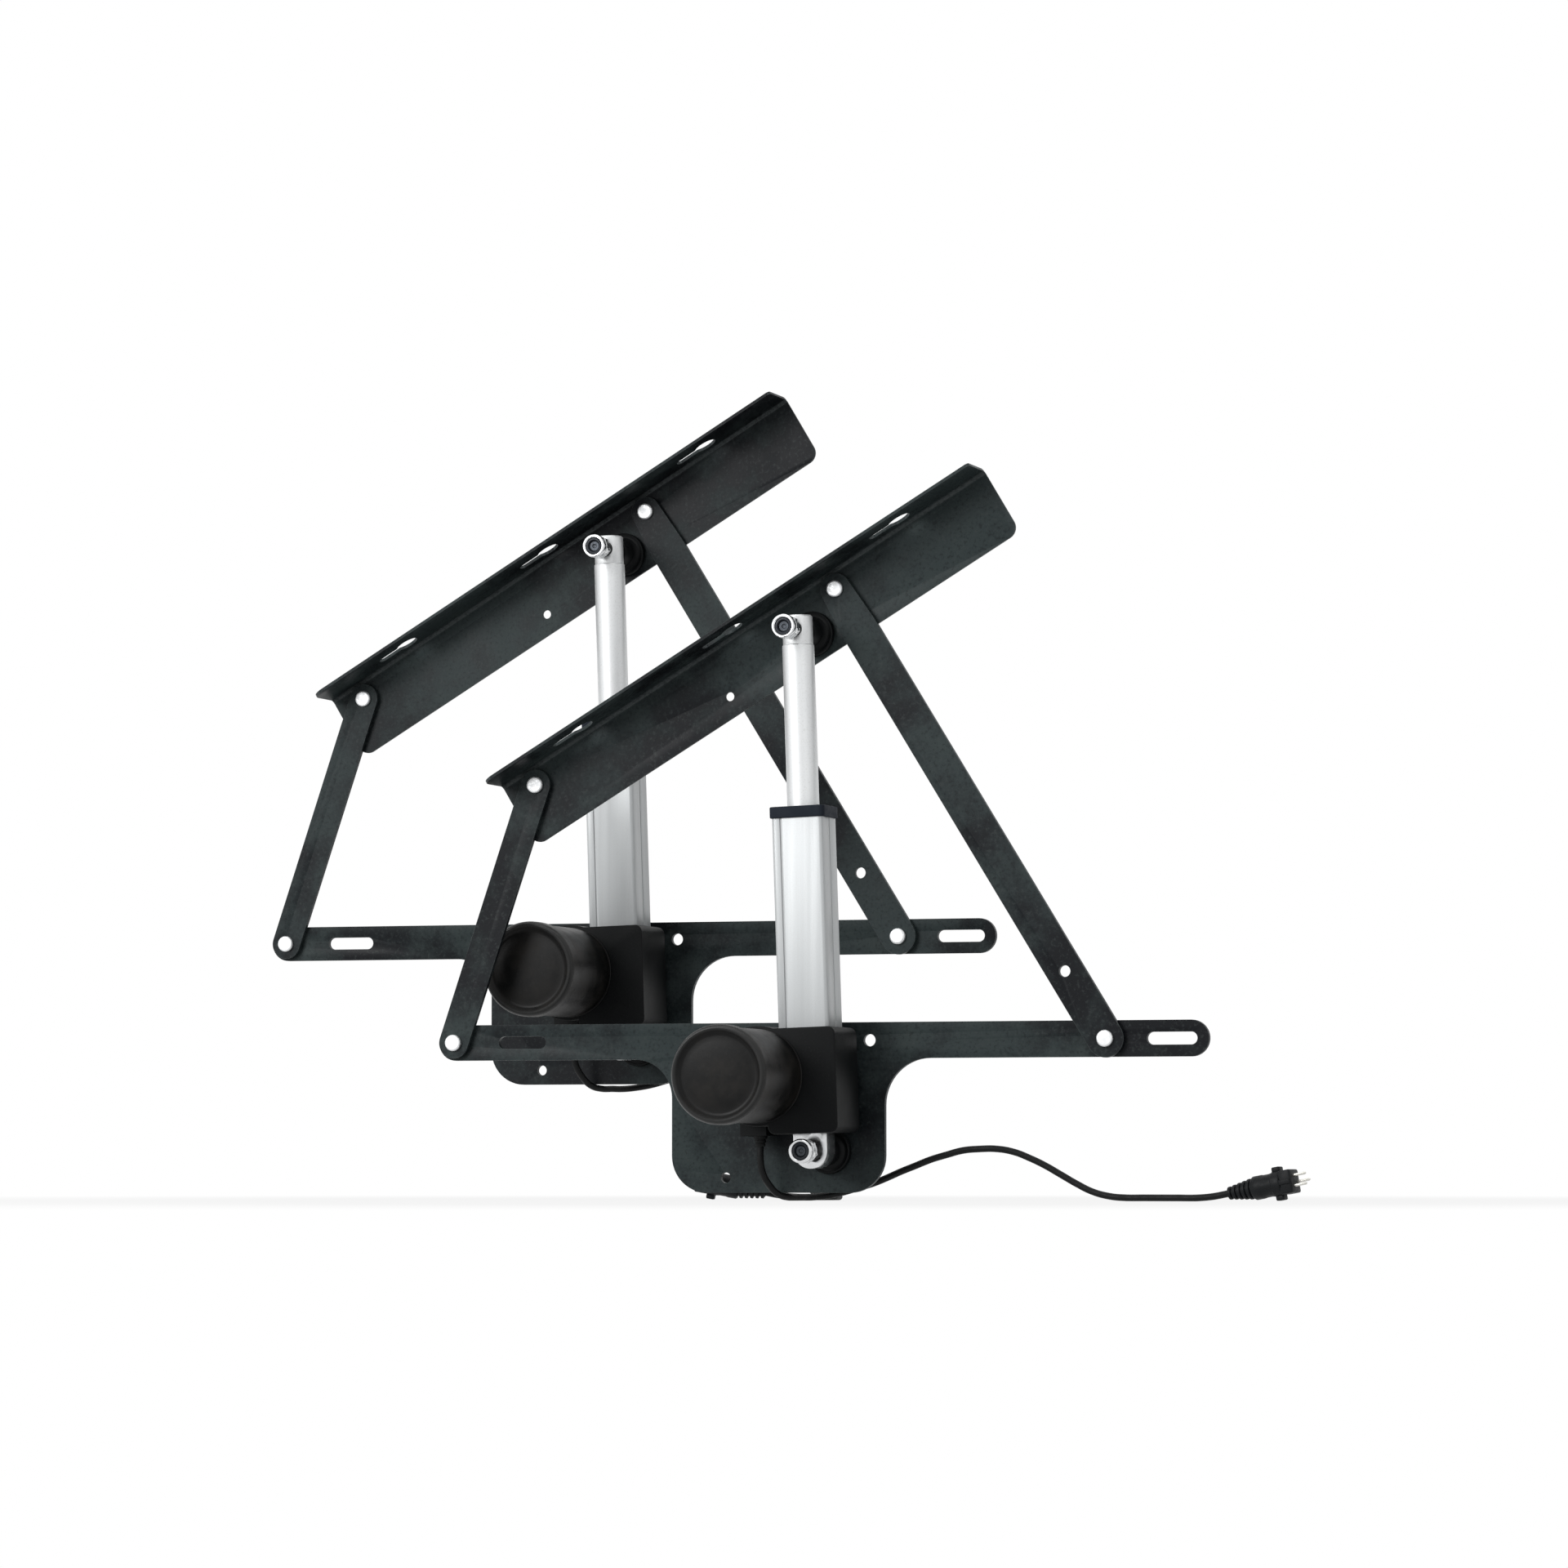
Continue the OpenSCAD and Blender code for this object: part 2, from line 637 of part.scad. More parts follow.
// Back half of the gearbox, with the foot that the lead comes out of
module gearbox_housing() color(black_plastic) difference() {
    on_actuator() difference() {
        union() {
            box_slab(box_back, axis_y) box_outline();
            box_slab(motor_back, axis_y) motor_outline(flange_r);
            box_slab(box_back, axis_y) translate([gland_from, box_from])
                square([gland_foot_w, motor_up - box_from]);
        }
        box_slab(box_back + box_wall, axis_y + 1) wheel_hollow(0);
        box_slab(motor_back + box_wall, axis_y + 1) hollow_outline();
        gearbox_seats();
    }
    gland_place() cylinder(d = gland_d + 2 * fit, h = gland_stem + fit + gland_cone);
}

// Front half of the gearbox, with the flange that the motor bolts to
module gearbox_cover() color(black_plastic) on_actuator() difference() {
    union() {
        box_slab(axis_y, box_front) box_outline();
        box_slab(axis_y, box_front) motor_outline(flange_r);
    }
    box_slab(axis_y - 1, box_front - box_wall) hollow_outline();
    gearbox_seats();
    box_slab(box_front - box_wall - 1, box_front + 1) motor_outline(shaft_d / 2 + fit);
}

// Motor can: a drawn steel cup, open at the gearbox
module motor_can() color(black_plastic) on_actuator() translate([-motor_off, 0, motor_up])
    difference() {
        box_slab(box_front, motor_front) circle(d = motor_d);
        box_slab(box_front - 1, motor_front - motor_wall) circle(d = motor_d - 2 * motor_wall);
        box_slab(box_front, motor_front + 1) circle(d = shaft_d + 2 * fit);
    }

// End cap: a skirt over the can, a raised rim and a shallow dome inside it
module motor_cap() color(black_plastic) on_actuator()
    translate([-motor_off, axis_y - cap_back, motor_up]) rotate([90, 0, 0]) rotate_extrude()
        polygon(concat(
            [[motor_d / 2 + fit, 0], [cap_d / 2, 0], [cap_d / 2, cap_l - 3], [cap_d / 2 - 1, cap_l - 1],
             [cap_d / 2 - 3, cap_l], [cap_d / 2 - 6, cap_l - 1], [cap_d / 2 - 8, cap_l - 3.5]],
            [for (k = [1:6]) let (a = 15 * k) [(cap_d / 2 - 9) * cos(a), cap_l - 4 + 2.5 * sin(a)]],
            [[0, cap_over], [motor_d / 2 + fit, cap_over]]
        ));

// Rotor, shaft and worm of the motor
module motor_worm() color(bright_steel) on_actuator() translate([-motor_off, 0, motor_up]) {
    pitch = (worm_d - 2) / worm_threads;
    rotor_end = 2 * rotor_gap;
    box_slab(shaft_back, motor_front) circle(d = shaft_d);
    box_slab(axis_y - worm_d / 2 + 1, axis_y + worm_d / 2 - 1) circle(d = worm_d - 3);
    for (k = [0:worm_threads - 1]) let (y = axis_y - worm_d / 2 + 1 + pitch * (k + 0.25))
        box_slab(y, y + pitch / 2) circle(d = worm_d);
    box_slab(box_front + rotor_end, motor_front - rotor_end)
        circle(d = motor_d - 2 * motor_wall - 2 * rotor_gap);
}

// Toothed wheel on the screw, driven by the worm
module worm_wheel() color(nylon) on_actuator()
    translate([0, 0, motor_up - wheel_t / 2]) linear_extrude(wheel_t) difference() {
        circle(d = wheel_d);
        circle(d = screw_d);
        for (k = [0:wheel_teeth - 1]) rotate(360 * (k + 0.5) / wheel_teeth)
            translate([wheel_d / 2, 0]) square([4, wheel_d * 3.14 / wheel_teeth / 2], center = true);
    }

// Lead screw from its socket in the lug to its free end inside the rod
screw_from = lug_stem_to - socket_depth;
module lead_screw() color(bright_steel) on_actuator()
    translate([0, 0, screw_from]) cylinder(d = screw_d, h = screw_top - screw_from);

module screw_bearing() color(bright_steel) on_actuator()
    translate([0, 0, seat_from + box_wall]) difference() {
        cylinder(d = bearing_d, h = bearing_h);
        translate([0, 0, -1]) cylinder(d = screw_d + 2 * fit, h = bearing_h + 2);
    }

// Lower lug: a round-ended steel eye, its stem held in the gearbox's foot
module lower_lug() color(bright_steel) on_actuator() difference() {
    box_slab(lug_back, lug_front) {
        circle(d = lug_w);
        translate([-lug_w / 2, 0]) square([lug_w, lug_stem_to]);
    }
    box_slab(lug_back - 1, lug_front + 1) circle(d = sleeve_d + 2 * fit);
    translate([0, 0, screw_from - open_gap])
        cylinder(d = screw_d + 2 * fit, h = socket_depth + open_gap + 1);
}

// Square aluminium tube with grooves along its faces and a round bore
module outer_tube() color(anodised) on_actuator()
    translate([0, 0, box_to]) linear_extrude(tube_l) difference() {
        round_rect(-tube_w / 2, tube_w / 2, -tube_depth / 2, tube_depth / 2, 2.5);
        circle(d = tube_bore);
        for (s = [-1, 1]) {
            translate([s * (tube_w / 2 - groove_in), s * tube_depth / 2])
                square([groove_w, 2 * groove_depth], center = true);
            translate([s * tube_w / 2, 0]) square([2 * groove_depth, groove_w], center = true);
        }
    }

module tube_collar() color(dark_rubber) on_actuator()
    translate([0, 0, tube_top]) linear_extrude(collar_l) difference() {
        round_rect(-tube_w / 2 - collar_out, tube_w / 2 + collar_out,
            -tube_depth / 2 - collar_out, tube_depth / 2 + collar_out, 4);
        circle(d = rod_d + 2 * fit);
    }

// The gland stands upright at the lead's upper end, its stem in the gearbox's foot
gland_d = lead_d + 2 * gland_wall;
gland_cone = lower_pin[1] + box_from - front_drop_route[0][2];
gland_from = front_drop_route[0][0] - lower_pin[0] - gland_foot_w / 2;
module gland_place() translate(front_drop_route[0]) children();
module cable_gland() color(dark_rubber) gland_place() {
    cylinder(d1 = lead_d + 2 * gland_tip, d2 = gland_d, h = gland_cone - 2);
    translate([0, 0, gland_cone - 2]) cylinder(d = gland_d, h = gland_stem + 2);
}

// Bronze nut: a disc that runs in the tube, with a spigot fixed inside the rod
module drive_nut() color(bronze) on_actuator() difference() {
    union() {
        translate([0, 0, rod_from - drive_nut_l]) cylinder(d = tube_bore - 2 * fit, h = drive_nut_l);
        translate([0, 0, rod_from]) cylinder(d = rod_bore - 2 * fit, h = spigot_l);
    }
    translate([0, 0, rod_from - drive_nut_l - 1])
        cylinder(d = screw_d + 2 * fit, h = drive_nut_l + spigot_l + 2);
}

module lift_rod() color(anodised) on_actuator()
    translate([0, 0, rod_from]) difference() {
        cylinder(d = rod_d, h = rod_to - rod_from);
        translate([0, 0, -1]) cylinder(d = rod_bore, h = rod_to - rod_from + 2);
    }

// Rod head: a steel plug with a cross hole for the upper pivot
module rod_head() color(bright_steel) on_actuator() difference() {
    union() {
        translate([0, 0, rod_to]) cylinder(d = head_d, h = head_below + head_above - 1);
        translate([0, 0, reach + head_above - 1]) cylinder(d1 = head_d, d2 = head_d - 2, h = 1);
        translate([0, 0, rod_to - spigot_l]) cylinder(d = rod_bore - 2 * fit, h = spigot_l + 1);
    }
    translate([0, head_d, reach]) rotate([90, 0, 0]) cylinder(d = sleeve_d + 2 * fit, h = 2 * head_d);
}

upper_from = boss_foot_to + open_gap;

// Upper pivot bolt, from just in front of the rail's boss to inside its lock nut
module upper_bolt() color(bright_steel)
    bar_at(upper_pin, bolt_d / 2, upper_from, head_front + sleeve_front + nut_l - nut_recess);

module upper_sleeve() color(black_plastic) difference() {
    union() {
        bar_at(upper_pin, boss_neck_d / 2, upper_from, head_back);
        bar_at(upper_pin, sleeve_d / 2, upper_from, head_front + sleeve_front);
    }
    bar_at(upper_pin, bolt_d / 2, upper_from - 1, head_front + sleeve_front + 1);
}

module upper_lock_nut() color(bright_steel) lock_nut(upper_pin, head_front + sleeve_front);

function unit(v) = v / norm(v);
function turned(n, t) = unit(n - (n * t) * t);
function heading(p, i) = unit(p[min(i + 1, len(p) - 1)] - p[max(i - 1, 0)]);
function normals(p, i, n) =
    i == len(p) ? [] : let (m = turned(n, heading(p, i))) concat([m], normals(p, i + 1, m));

// A round lead swept along its route, with eight sides
module lead_tube(p, first_normal) {
    sides = 8;
    n = normals(p, 0, first_normal);
    points = [
        for (i = [0:len(p) - 1], k = [0:sides - 1])
            let (t = heading(p, i), b = cross(t, n[i]), a = 360 * k / sides)
                p[i] + lead_d / 2 * (cos(a) * n[i] + sin(a) * b)
    ];
    last = (len(p) - 1) * sides;
    polyhedron(points, concat(
        [[for (k = [0:sides - 1]) k]],
        [for (i = [0:len(p) - 2], k = [0:sides - 1])
            let (a = i * sides + k, b = i * sides + (k + 1) % sides) [a, a + sides, b + sides, b]],
        [[for (k = [sides - 1:-1:0]) last + k]]
    ));
}

module front_lead_drop() color(dark_rubber) lead_tube(front_drop_route, [1, 0, 0]);
module front_lead() color(dark_rubber) lead_tube(front_lead_route, [0, 0, 1]);
module rear_lead_drop() color(dark_rubber) lead_tube(rear_drop_route, [1, 0, 0]);
module rear_lead() color(dark_rubber) lead_tube(rear_lead_route, [0, 0, 1]);

// Round locking plug, its axis along +X and its tail at the origin
module plug() {
    rib = relief_l / relief_ribs;
    tail_r = lead_d / 2 + relief_wall;
    body_to = relief_l + plug_l;
    ring_to = body_to + ring_l;
    ear = ring_d / 3;
    rotate([0, 90, 0]) {
        cylinder(r1 = tail_r, r2 = plug_d / 2 - 2 * relief_wall, h = relief_l);
        for (k = [0:relief_ribs - 1]) translate([0, 0, k * rib])
            cylinder(r = tail_r + relief_wall + k * (plug_d / 2 - tail_r - 2 * relief_wall) / relief_ribs,
                h = rib / 2);
        translate([0, 0, relief_l]) cylinder(d = plug_d, h = plug_l);
        translate([0, 0, body_to]) cylinder(d = plug_d + 2, h = ring_l);
        translate([-ring_d / 2, -ear / 2, body_to]) cube([ring_d, ear, ring_l]);
        translate([0, 0, ring_to]) cylinder(d = plug_d - 0.5, h = nose_l);
        for (k = [0:3]) rotate(90 * k + 45) translate([plug_d / 4, 0, ring_to])
            cylinder(d = pin_d, h = nose_l + pin_l);
    }
}

// A plug at the end of a route, in line with its last stretch
module plug_at_end(p) {
    v = p[len(p) - 1] - p[len(p) - 2];
    color(black_plastic) translate(p[len(p) - 1])
        rotate([0, -atan2(v[2], norm([v[0], v[1]])), atan2(v[1], v[0])]) plug();
}
module front_lead_plug() plug_at_end(front_lead_route);
module rear_lead_plug() plug_at_end(rear_lead_route);

module front_base_plate() base_plate();
module front_long_arm() long_arm();
module front_short_arm() short_arm();
module front_short_arm_rivet() short_arm_rivet();
module front_lift_rail() lift_rail();
module front_rail_pins() rail_pins();
module front_rail_boss() rail_boss();
module front_gearbox_housing() gearbox_housing();
module front_gearbox_cover() gearbox_cover();
module front_motor_can() motor_can();
module front_motor_cap() motor_cap();
module front_outer_tube() outer_tube();
module front_tube_collar() tube_collar();
module front_lower_lug() lower_lug();
module front_motor_worm() motor_worm();
module front_worm_wheel() worm_wheel();
module front_lead_screw() lead_screw();
module front_screw_bearing() screw_bearing();
module front_cable_gland() cable_gland();
module front_drive_nut() drive_nut();
module front_lift_rod() lift_rod();
module front_rod_head() rod_head();
module front_upper_bolt() upper_bolt();
module front_upper_sleeve() upper_sleeve();
module front_upper_lock_nut() upper_lock_nut();

module rear_base_plate() at_rear() base_plate();
module rear_long_arm() at_rear() long_arm();
module rear_short_arm() at_rear() short_arm();
module rear_short_arm_rivet() at_rear() short_arm_rivet();
module rear_lift_rail() at_rear() lift_rail();
module rear_rail_pins() at_rear() rail_pins();
module rear_rail_boss() at_rear() rail_boss();
module rear_gearbox_housing() at_rear() gearbox_housing();
module rear_gearbox_cover() at_rear() gearbox_cover();
module rear_motor_can() at_rear() motor_can();
module rear_motor_cap() at_rear() motor_cap();
module rear_outer_tube() at_rear() outer_tube();
module rear_tube_collar() at_rear() tube_collar();
module rear_lower_lug() at_rear() lower_lug();
module rear_motor_worm() at_rear() motor_worm();
module rear_worm_wheel() at_rear() worm_wheel();
module rear_lead_screw() at_rear() lead_screw();
module rear_screw_bearing() at_rear() screw_bearing();
module rear_cable_gland() at_rear() cable_gland();
module rear_drive_nut() at_rear() drive_nut();
module rear_lift_rod() at_rear() lift_rod();
module rear_rod_head() at_rear() rod_head();
module rear_upper_bolt() at_rear() upper_bolt();
module rear_upper_sleeve() at_rear() upper_sleeve();
module rear_upper_lock_nut() at_rear() upper_lock_nut();

front_base_plate();
rear_base_plate();
base_pivot_rivets();
lower_pivot_bolts();
lower_lock_nuts();
lower_pivot_bosses();
front_long_arm();
front_short_arm();
front_short_arm_rivet();
front_lift_rail();
front_rail_pins();
front_rail_boss();
front_gearbox_housing();
front_gearbox_cover();
front_motor_can();
front_motor_cap();
front_outer_tube();
front_tube_collar();
front_lower_lug();
front_motor_worm();
front_worm_wheel();
front_lead_screw();
front_screw_bearing();
front_cable_gland();
front_drive_nut();
front_lift_rod();
front_rod_head();
front_upper_bolt();
front_upper_sleeve();
front_upper_lock_nut();
front_lead_drop();
front_lead();
front_lead_plug();
rear_long_arm();
rear_short_arm();
rear_short_arm_rivet();
rear_lift_rail();
rear_rail_pins();
rear_rail_boss();
rear_gearbox_housing();
rear_gearbox_cover();
rear_motor_can();
rear_motor_cap();
rear_outer_tube();
rear_tube_collar();
rear_lower_lug();
rear_motor_worm();
rear_worm_wheel();
rear_lead_screw();
rear_screw_bearing();
rear_cable_gland();
rear_drive_nut();
rear_lift_rod();
rear_rod_head();
rear_upper_bolt();
rear_upper_sleeve();
rear_upper_lock_nut();
rear_lead_drop();
rear_lead();
rear_lead_plug();
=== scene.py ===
import math

import bpy
from mathutils import Matrix, Vector
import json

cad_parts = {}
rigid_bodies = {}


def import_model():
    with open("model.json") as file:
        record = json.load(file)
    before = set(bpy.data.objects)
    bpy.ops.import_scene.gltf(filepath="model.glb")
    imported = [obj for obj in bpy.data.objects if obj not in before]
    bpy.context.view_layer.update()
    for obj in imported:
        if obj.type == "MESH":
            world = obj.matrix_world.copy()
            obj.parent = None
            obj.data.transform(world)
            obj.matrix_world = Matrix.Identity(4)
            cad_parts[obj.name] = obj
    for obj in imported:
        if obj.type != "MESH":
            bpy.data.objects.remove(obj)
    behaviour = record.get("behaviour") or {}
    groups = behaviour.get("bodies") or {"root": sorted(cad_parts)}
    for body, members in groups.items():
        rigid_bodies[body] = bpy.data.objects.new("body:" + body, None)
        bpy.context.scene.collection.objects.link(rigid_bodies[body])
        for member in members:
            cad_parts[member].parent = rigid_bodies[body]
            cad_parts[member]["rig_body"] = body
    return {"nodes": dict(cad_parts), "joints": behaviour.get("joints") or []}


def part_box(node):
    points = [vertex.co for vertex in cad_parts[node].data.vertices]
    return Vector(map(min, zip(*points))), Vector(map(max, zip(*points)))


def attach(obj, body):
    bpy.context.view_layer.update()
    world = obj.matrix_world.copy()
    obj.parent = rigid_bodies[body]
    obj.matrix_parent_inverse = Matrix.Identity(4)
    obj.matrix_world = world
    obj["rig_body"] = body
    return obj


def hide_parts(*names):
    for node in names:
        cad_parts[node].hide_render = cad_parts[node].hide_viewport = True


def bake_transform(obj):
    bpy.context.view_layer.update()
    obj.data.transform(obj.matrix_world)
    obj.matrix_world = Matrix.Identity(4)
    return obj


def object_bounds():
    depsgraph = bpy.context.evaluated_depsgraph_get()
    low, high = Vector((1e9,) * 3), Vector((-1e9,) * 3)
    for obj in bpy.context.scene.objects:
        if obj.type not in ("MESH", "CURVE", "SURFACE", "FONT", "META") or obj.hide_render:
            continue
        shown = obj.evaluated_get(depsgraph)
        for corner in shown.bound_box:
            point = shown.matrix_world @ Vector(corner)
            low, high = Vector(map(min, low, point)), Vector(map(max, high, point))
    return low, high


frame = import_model()
cad_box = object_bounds()

# Camera: a long lens four metres off, to the right of the lifts and a little below
# their middle, so that the flanges of the rails are seen from underneath.
aim = Vector((-0.0414, 0.0, 0.1716))
side, rise = math.radians(18.0), math.radians(-3.7)
towards = Vector(
    (math.sin(side) * math.cos(rise), -math.cos(side) * math.cos(rise), math.sin(rise))
)
lens = bpy.data.cameras.new("camera")
lens.lens, lens.sensor_width = 137.4, 36.0
lens.clip_start, lens.clip_end = 0.1, 50.0
camera = bpy.data.objects.new("camera", lens)
bpy.context.scene.collection.objects.link(camera)
camera.location = aim + 4.0 * towards
camera.rotation_euler = (-towards).to_track_quat("-Z", "Y").to_euler()
bpy.context.scene.camera = camera

# Leads: a 4.5 mm round cable of black PVC from each gearbox to its plug. Each hangs
# from its gland, rests on the floor and passes in a low hump over the other pieces.
MM = 0.001
LEAD_D = 4.5 * MM
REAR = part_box("rear_outer_tube")[0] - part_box("front_outer_tube")[0]
UNITS = (("front", Vector()), ("rear", REAR))


class Value:
    """A shader socket that ordinary sums can be written with."""

    def __init__(self, finish, socket):
        self.finish, self.socket = finish, socket

    def _math(self, operation, a, b):
        return self.finish.node("Math", {"operation": operation}, {0: a, 1: b})

    def __add__(self, other):
        return self._math("ADD", self, other)

    def __sub__(self, other):
        return self._math("SUBTRACT", self, other)

    def __mul__(self, other):
        return self._math("MULTIPLY", self, other)

    def __rsub__(self, other):
        return self._math("SUBTRACT", other, self)

    __radd__, __rmul__ = __add__, __mul__


class Finish:
    """A material on one Principled shader, built node by node."""

    def __init__(self, name, fixed):
        self.material = bpy.data.materials.new(name)
        self.material.use_nodes = True
        self.tree = self.material.node_tree
        self.shader = self.tree.nodes["Principled BSDF"]
        for socket, value in fixed.items():
            self.shader.inputs[socket].default_value = value

    def node(self, kind, settings=None, inputs=None, output=0):
        made = self.tree.nodes.new("ShaderNode" + kind)
        for name, value in (settings or {}).items():
            setattr(made, name, value)
        for name, value in (inputs or {}).items():
            if isinstance(value, Value):
                self.tree.links.new(value.socket, made.inputs[name])
            else:
                made.inputs[name].default_value = value
        return Value(self, made.outputs[output])

    def where(self, turn=(0.0, 0.0, 0.0), scale=(1.0, 1.0, 1.0), shift=(0.0, 0.0, 0.0)):
        place = self.node("TexCoord", output="Object")
        return self.node(
            "Mapping", None,
            {"Vector": place, "Location": shift, "Rotation": turn, "Scale": scale},
        )

    def noise(self, where, scale, detail=3.0, rough=0.5):
        return self.node(
            "TexNoise", None,
            {"Vector": where, "Scale": scale, "Detail": detail, "Roughness": rough},
        )

    def between(self, value, low, high, to_low=0.0, to_high=1.0):
        return self.node(
            "MapRange", {"interpolation_type": "SMOOTHSTEP"},
            {"Value": value, "From Min": low, "From Max": high, "To Min": to_low, "To Max": to_high},
        )

    def mix(self, share, first, second):
        first, second = (
            (*c, 1.0) if isinstance(c, tuple) and len(c) == 3 else c for c in (first, second)
        )
        return self.node(
            "Mix", {"data_type": "RGBA"}, {0: share, 6: first, 7: second}, output=2
        )

    def paint(self, socket, value):
        self.tree.links.new(value.socket, self.shader.inputs[socket])

    def bump(self, height, depth, strength=1.0):
        self.paint(
            "Normal",
            self.node("Bump", None, {"Height": height, "Distance": depth, "Strength": strength}),
        )


def pvc_finish():
    pvc = Finish("lead_pvc", {"Specular IOR Level": 0.16})
    here = pvc.where()
    cloud = pvc.noise(here, 60.0)
    pvc.paint("Base Color", pvc.mix(cloud, (0.0045, 0.0050, 0.0055), (0.0105, 0.0112, 0.0115)))
    pvc.paint("Roughness", pvc.between(pvc.noise(here, 220.0), 0.3, 0.7, 0.42, 0.58))
    pvc.bump(pvc.noise(here, 900.0, 2.0), 0.00005, 0.5)
    return pvc.material


lead_pvc = pvc_finish()
front_route = [
    (-50, -24, -70), (-50, -24, -79), (-49, -22, -88), (-46, -17, -96), (-42, -10, -102),
    (-37, -2, -104), (-32, 6, -104), (-27, 14, -104), (-19, 21, -103), (-9, 24, -101),
    (2, 24, -98), (13, 23, -95), (24, 21, -91), (34, 19, -87), (45, 17, -83), (56, 15, -79),
    (67, 13, -76), (79, 12, -73), (91, 11, -72), (103, 10, -72), (115, 9, -74), (126, 8, -78),
    (137, 7, -83), (148, 6, -89), (159, 5, -95), (170, 3, -100), (182, 1, -103), (194, -1, -104),
    (206, -3, -104), (218, -5, -104), (230, -7, -104), (243, -9, -104), (255, -11, -103),
    (266, -13, -101),
]
rear_route = [
    (-240, 136, 5), (-240, 136, -4), (-239, 138, -13), (-236, 143, -21), (-232, 150, -27),
    (-227, 158, -29), (-222, 166, -29), (-217, 174, -29), (-209, 181, -28), (-199, 185, -26),
    (-188, 186, -23), (-177, 185, -21), (-166, 183, -21), (-155, 180, -23), (-144, 176, -28),
    (-134, 171, -35), (-125, 166, -43), (-117, 161, -52), (-109, 156, -61), (-101, 150, -70),
    (-92, 144, -79), (-83, 137, -87), (-73, 129, -94), (-62, 121, -99), (-51, 112, -103),
    (-41, 103, -104), (-33, 93, -104), (-29, 81, -104), (-31, 69, -104), (-39, 60, -104),
    (-50, 57, -104), (-61, 55, -103), (-72, 53, -101),
]


def alone(piece):
    bpy.ops.object.select_all(action="DESELECT")
    piece.select_set(True)
    bpy.context.view_layer.objects.active = piece


def dress(piece, *materials):
    piece.data.materials.clear()
    for material in materials:
        piece.data.materials.append(material)
    return piece


def lay_lead(name, route):
    points = [Vector(p) * MM for p in route]
    line = bpy.data.curves.new(name, "CURVE")
    line.dimensions, line.bevel_depth, line.bevel_resolution = "3D", LEAD_D / 2, 4
    line.resolution_u, line.use_fill_caps = 6, True
    spline = line.splines.new("BEZIER")
    spline.bezier_points.add(len(points) - 1)
    for knot, point in zip(spline.bezier_points, points):
        knot.co, knot.handle_left_type, knot.handle_right_type = point, "AUTO", "AUTO"
    lead = bpy.data.objects.new(name, line)
    bpy.context.scene.collection.objects.link(lead)
    alone(lead)
    bpy.ops.object.convert(target="MESH")
    lead = bpy.context.view_layer.objects.active
    bpy.ops.object.shade_smooth_by_angle(angle=math.radians(40))
    return dress(lead, lead_pvc), points


leads = {
    "front": lay_lead("front_supply_lead", front_route),
    "rear": lay_lead("rear_supply_lead", rear_route),
}
for unit, (lead, points) in leads.items():
    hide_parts(unit + "_lead_drop", unit + "_lead")
    unit + "_actuator"
    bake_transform(lead)

# Plugs: a round locking plug moulded on each lead's end, with a ribbed tail, a grip,
# a locking collar with two ears, a square-shouldered nose and plated contact pins.


def begin(name, location=(0.0, 0.0, 0.0), turn=(0.0, 0.0, 0.0)):
    """Names the primitive just added and puts its object at its place."""
    piece = bpy.context.view_layer.objects.active
    piece.name = piece.data.name = name
    piece.location, piece.rotation_euler = location, turn
    return piece


def settle(piece, smooth=30.0):
    """Applies the place, so the object stands at the origin, and smooths round faces."""
    alone(piece)
    bpy.ops.object.transform_apply(location=True, rotation=True, scale=True)
    bpy.ops.object.shade_smooth_by_angle(angle=math.radians(smooth))
    return piece


def turned(name, profile, sides=64):
    """A solid of revolution about Z, spun from (radius, height) points in millimetres."""
    bpy.ops.object.select_all(action="DESELECT")
    bpy.ops.mesh.primitive_plane_add(size=0.01, location=(0, 0, 0))
    piece = begin(name)
    bpy.ops.object.mode_set(mode="EDIT")
    bpy.ops.mesh.select_all(action="SELECT")
    bpy.ops.mesh.merge(type="CENTER")
    at = Vector((0, 0, 0))
    for step, (radius, height) in enumerate(profile):
        goal = Vector((radius * MM, 0, height * MM))
        if step == 0:
            bpy.ops.transform.translate(value=goal - at)
        else:
            bpy.ops.mesh.extrude_region_move(TRANSFORM_OT_translate={"value": goal - at})
        at = goal
    bpy.ops.mesh.select_all(action="SELECT")
    bpy.ops.mesh.spin(
        steps=sides, angle=2 * math.pi, center=(0, 0, 0), axis=(0, 0, 1), use_auto_merge=True
    )
    bpy.ops.mesh.select_all(action="SELECT")
    bpy.ops.mesh.remove_doubles(threshold=0.000002)
    bpy.ops.mesh.normals_make_consistent(inside=False)
    bpy.ops.object.mode_set(mode="OBJECT")
    return piece


def block(name, size, centre, bevel, segments=3):
    """A block with its edges rounded, sizes in millimetres."""
    bpy.ops.object.select_all(action="DESELECT")
    bpy.ops.mesh.primitive_cube_add(size=1.0)
    piece = begin(name, Vector(centre) * MM)
    piece.scale = Vector(size) * MM
    bpy.ops.object.transform_apply(location=True, rotation=True, scale=True)
    rounded = piece.modifiers.new("rounded", "BEVEL")
    rounded.width, rounded.segments = bevel * MM, segments
    bpy.ops.object.modifier_apply(modifier=rounded.name)
    return piece


def joined(name, parts):
    bpy.ops.object.select_all(action="DESELECT")
    for part in parts:
        part.select_set(True)
    bpy.context.view_layer.objects.active = parts[0]
    bpy.ops.object.join()
    parts[0].name = parts[0].data.name = name
    return parts[0]


def copied(piece, name, offset=(0, 0, 0)):
    """The same piece again with a mesh of its own, moved by an offset in metres."""
    twin = piece.copy()
    twin.data = piece.data.copy()
    twin.name = twin.data.name = name
    bpy.context.scene.collection.objects.link(twin)
    twin.data.transform(Matrix.Translation(Vector(offset)))
    return twin


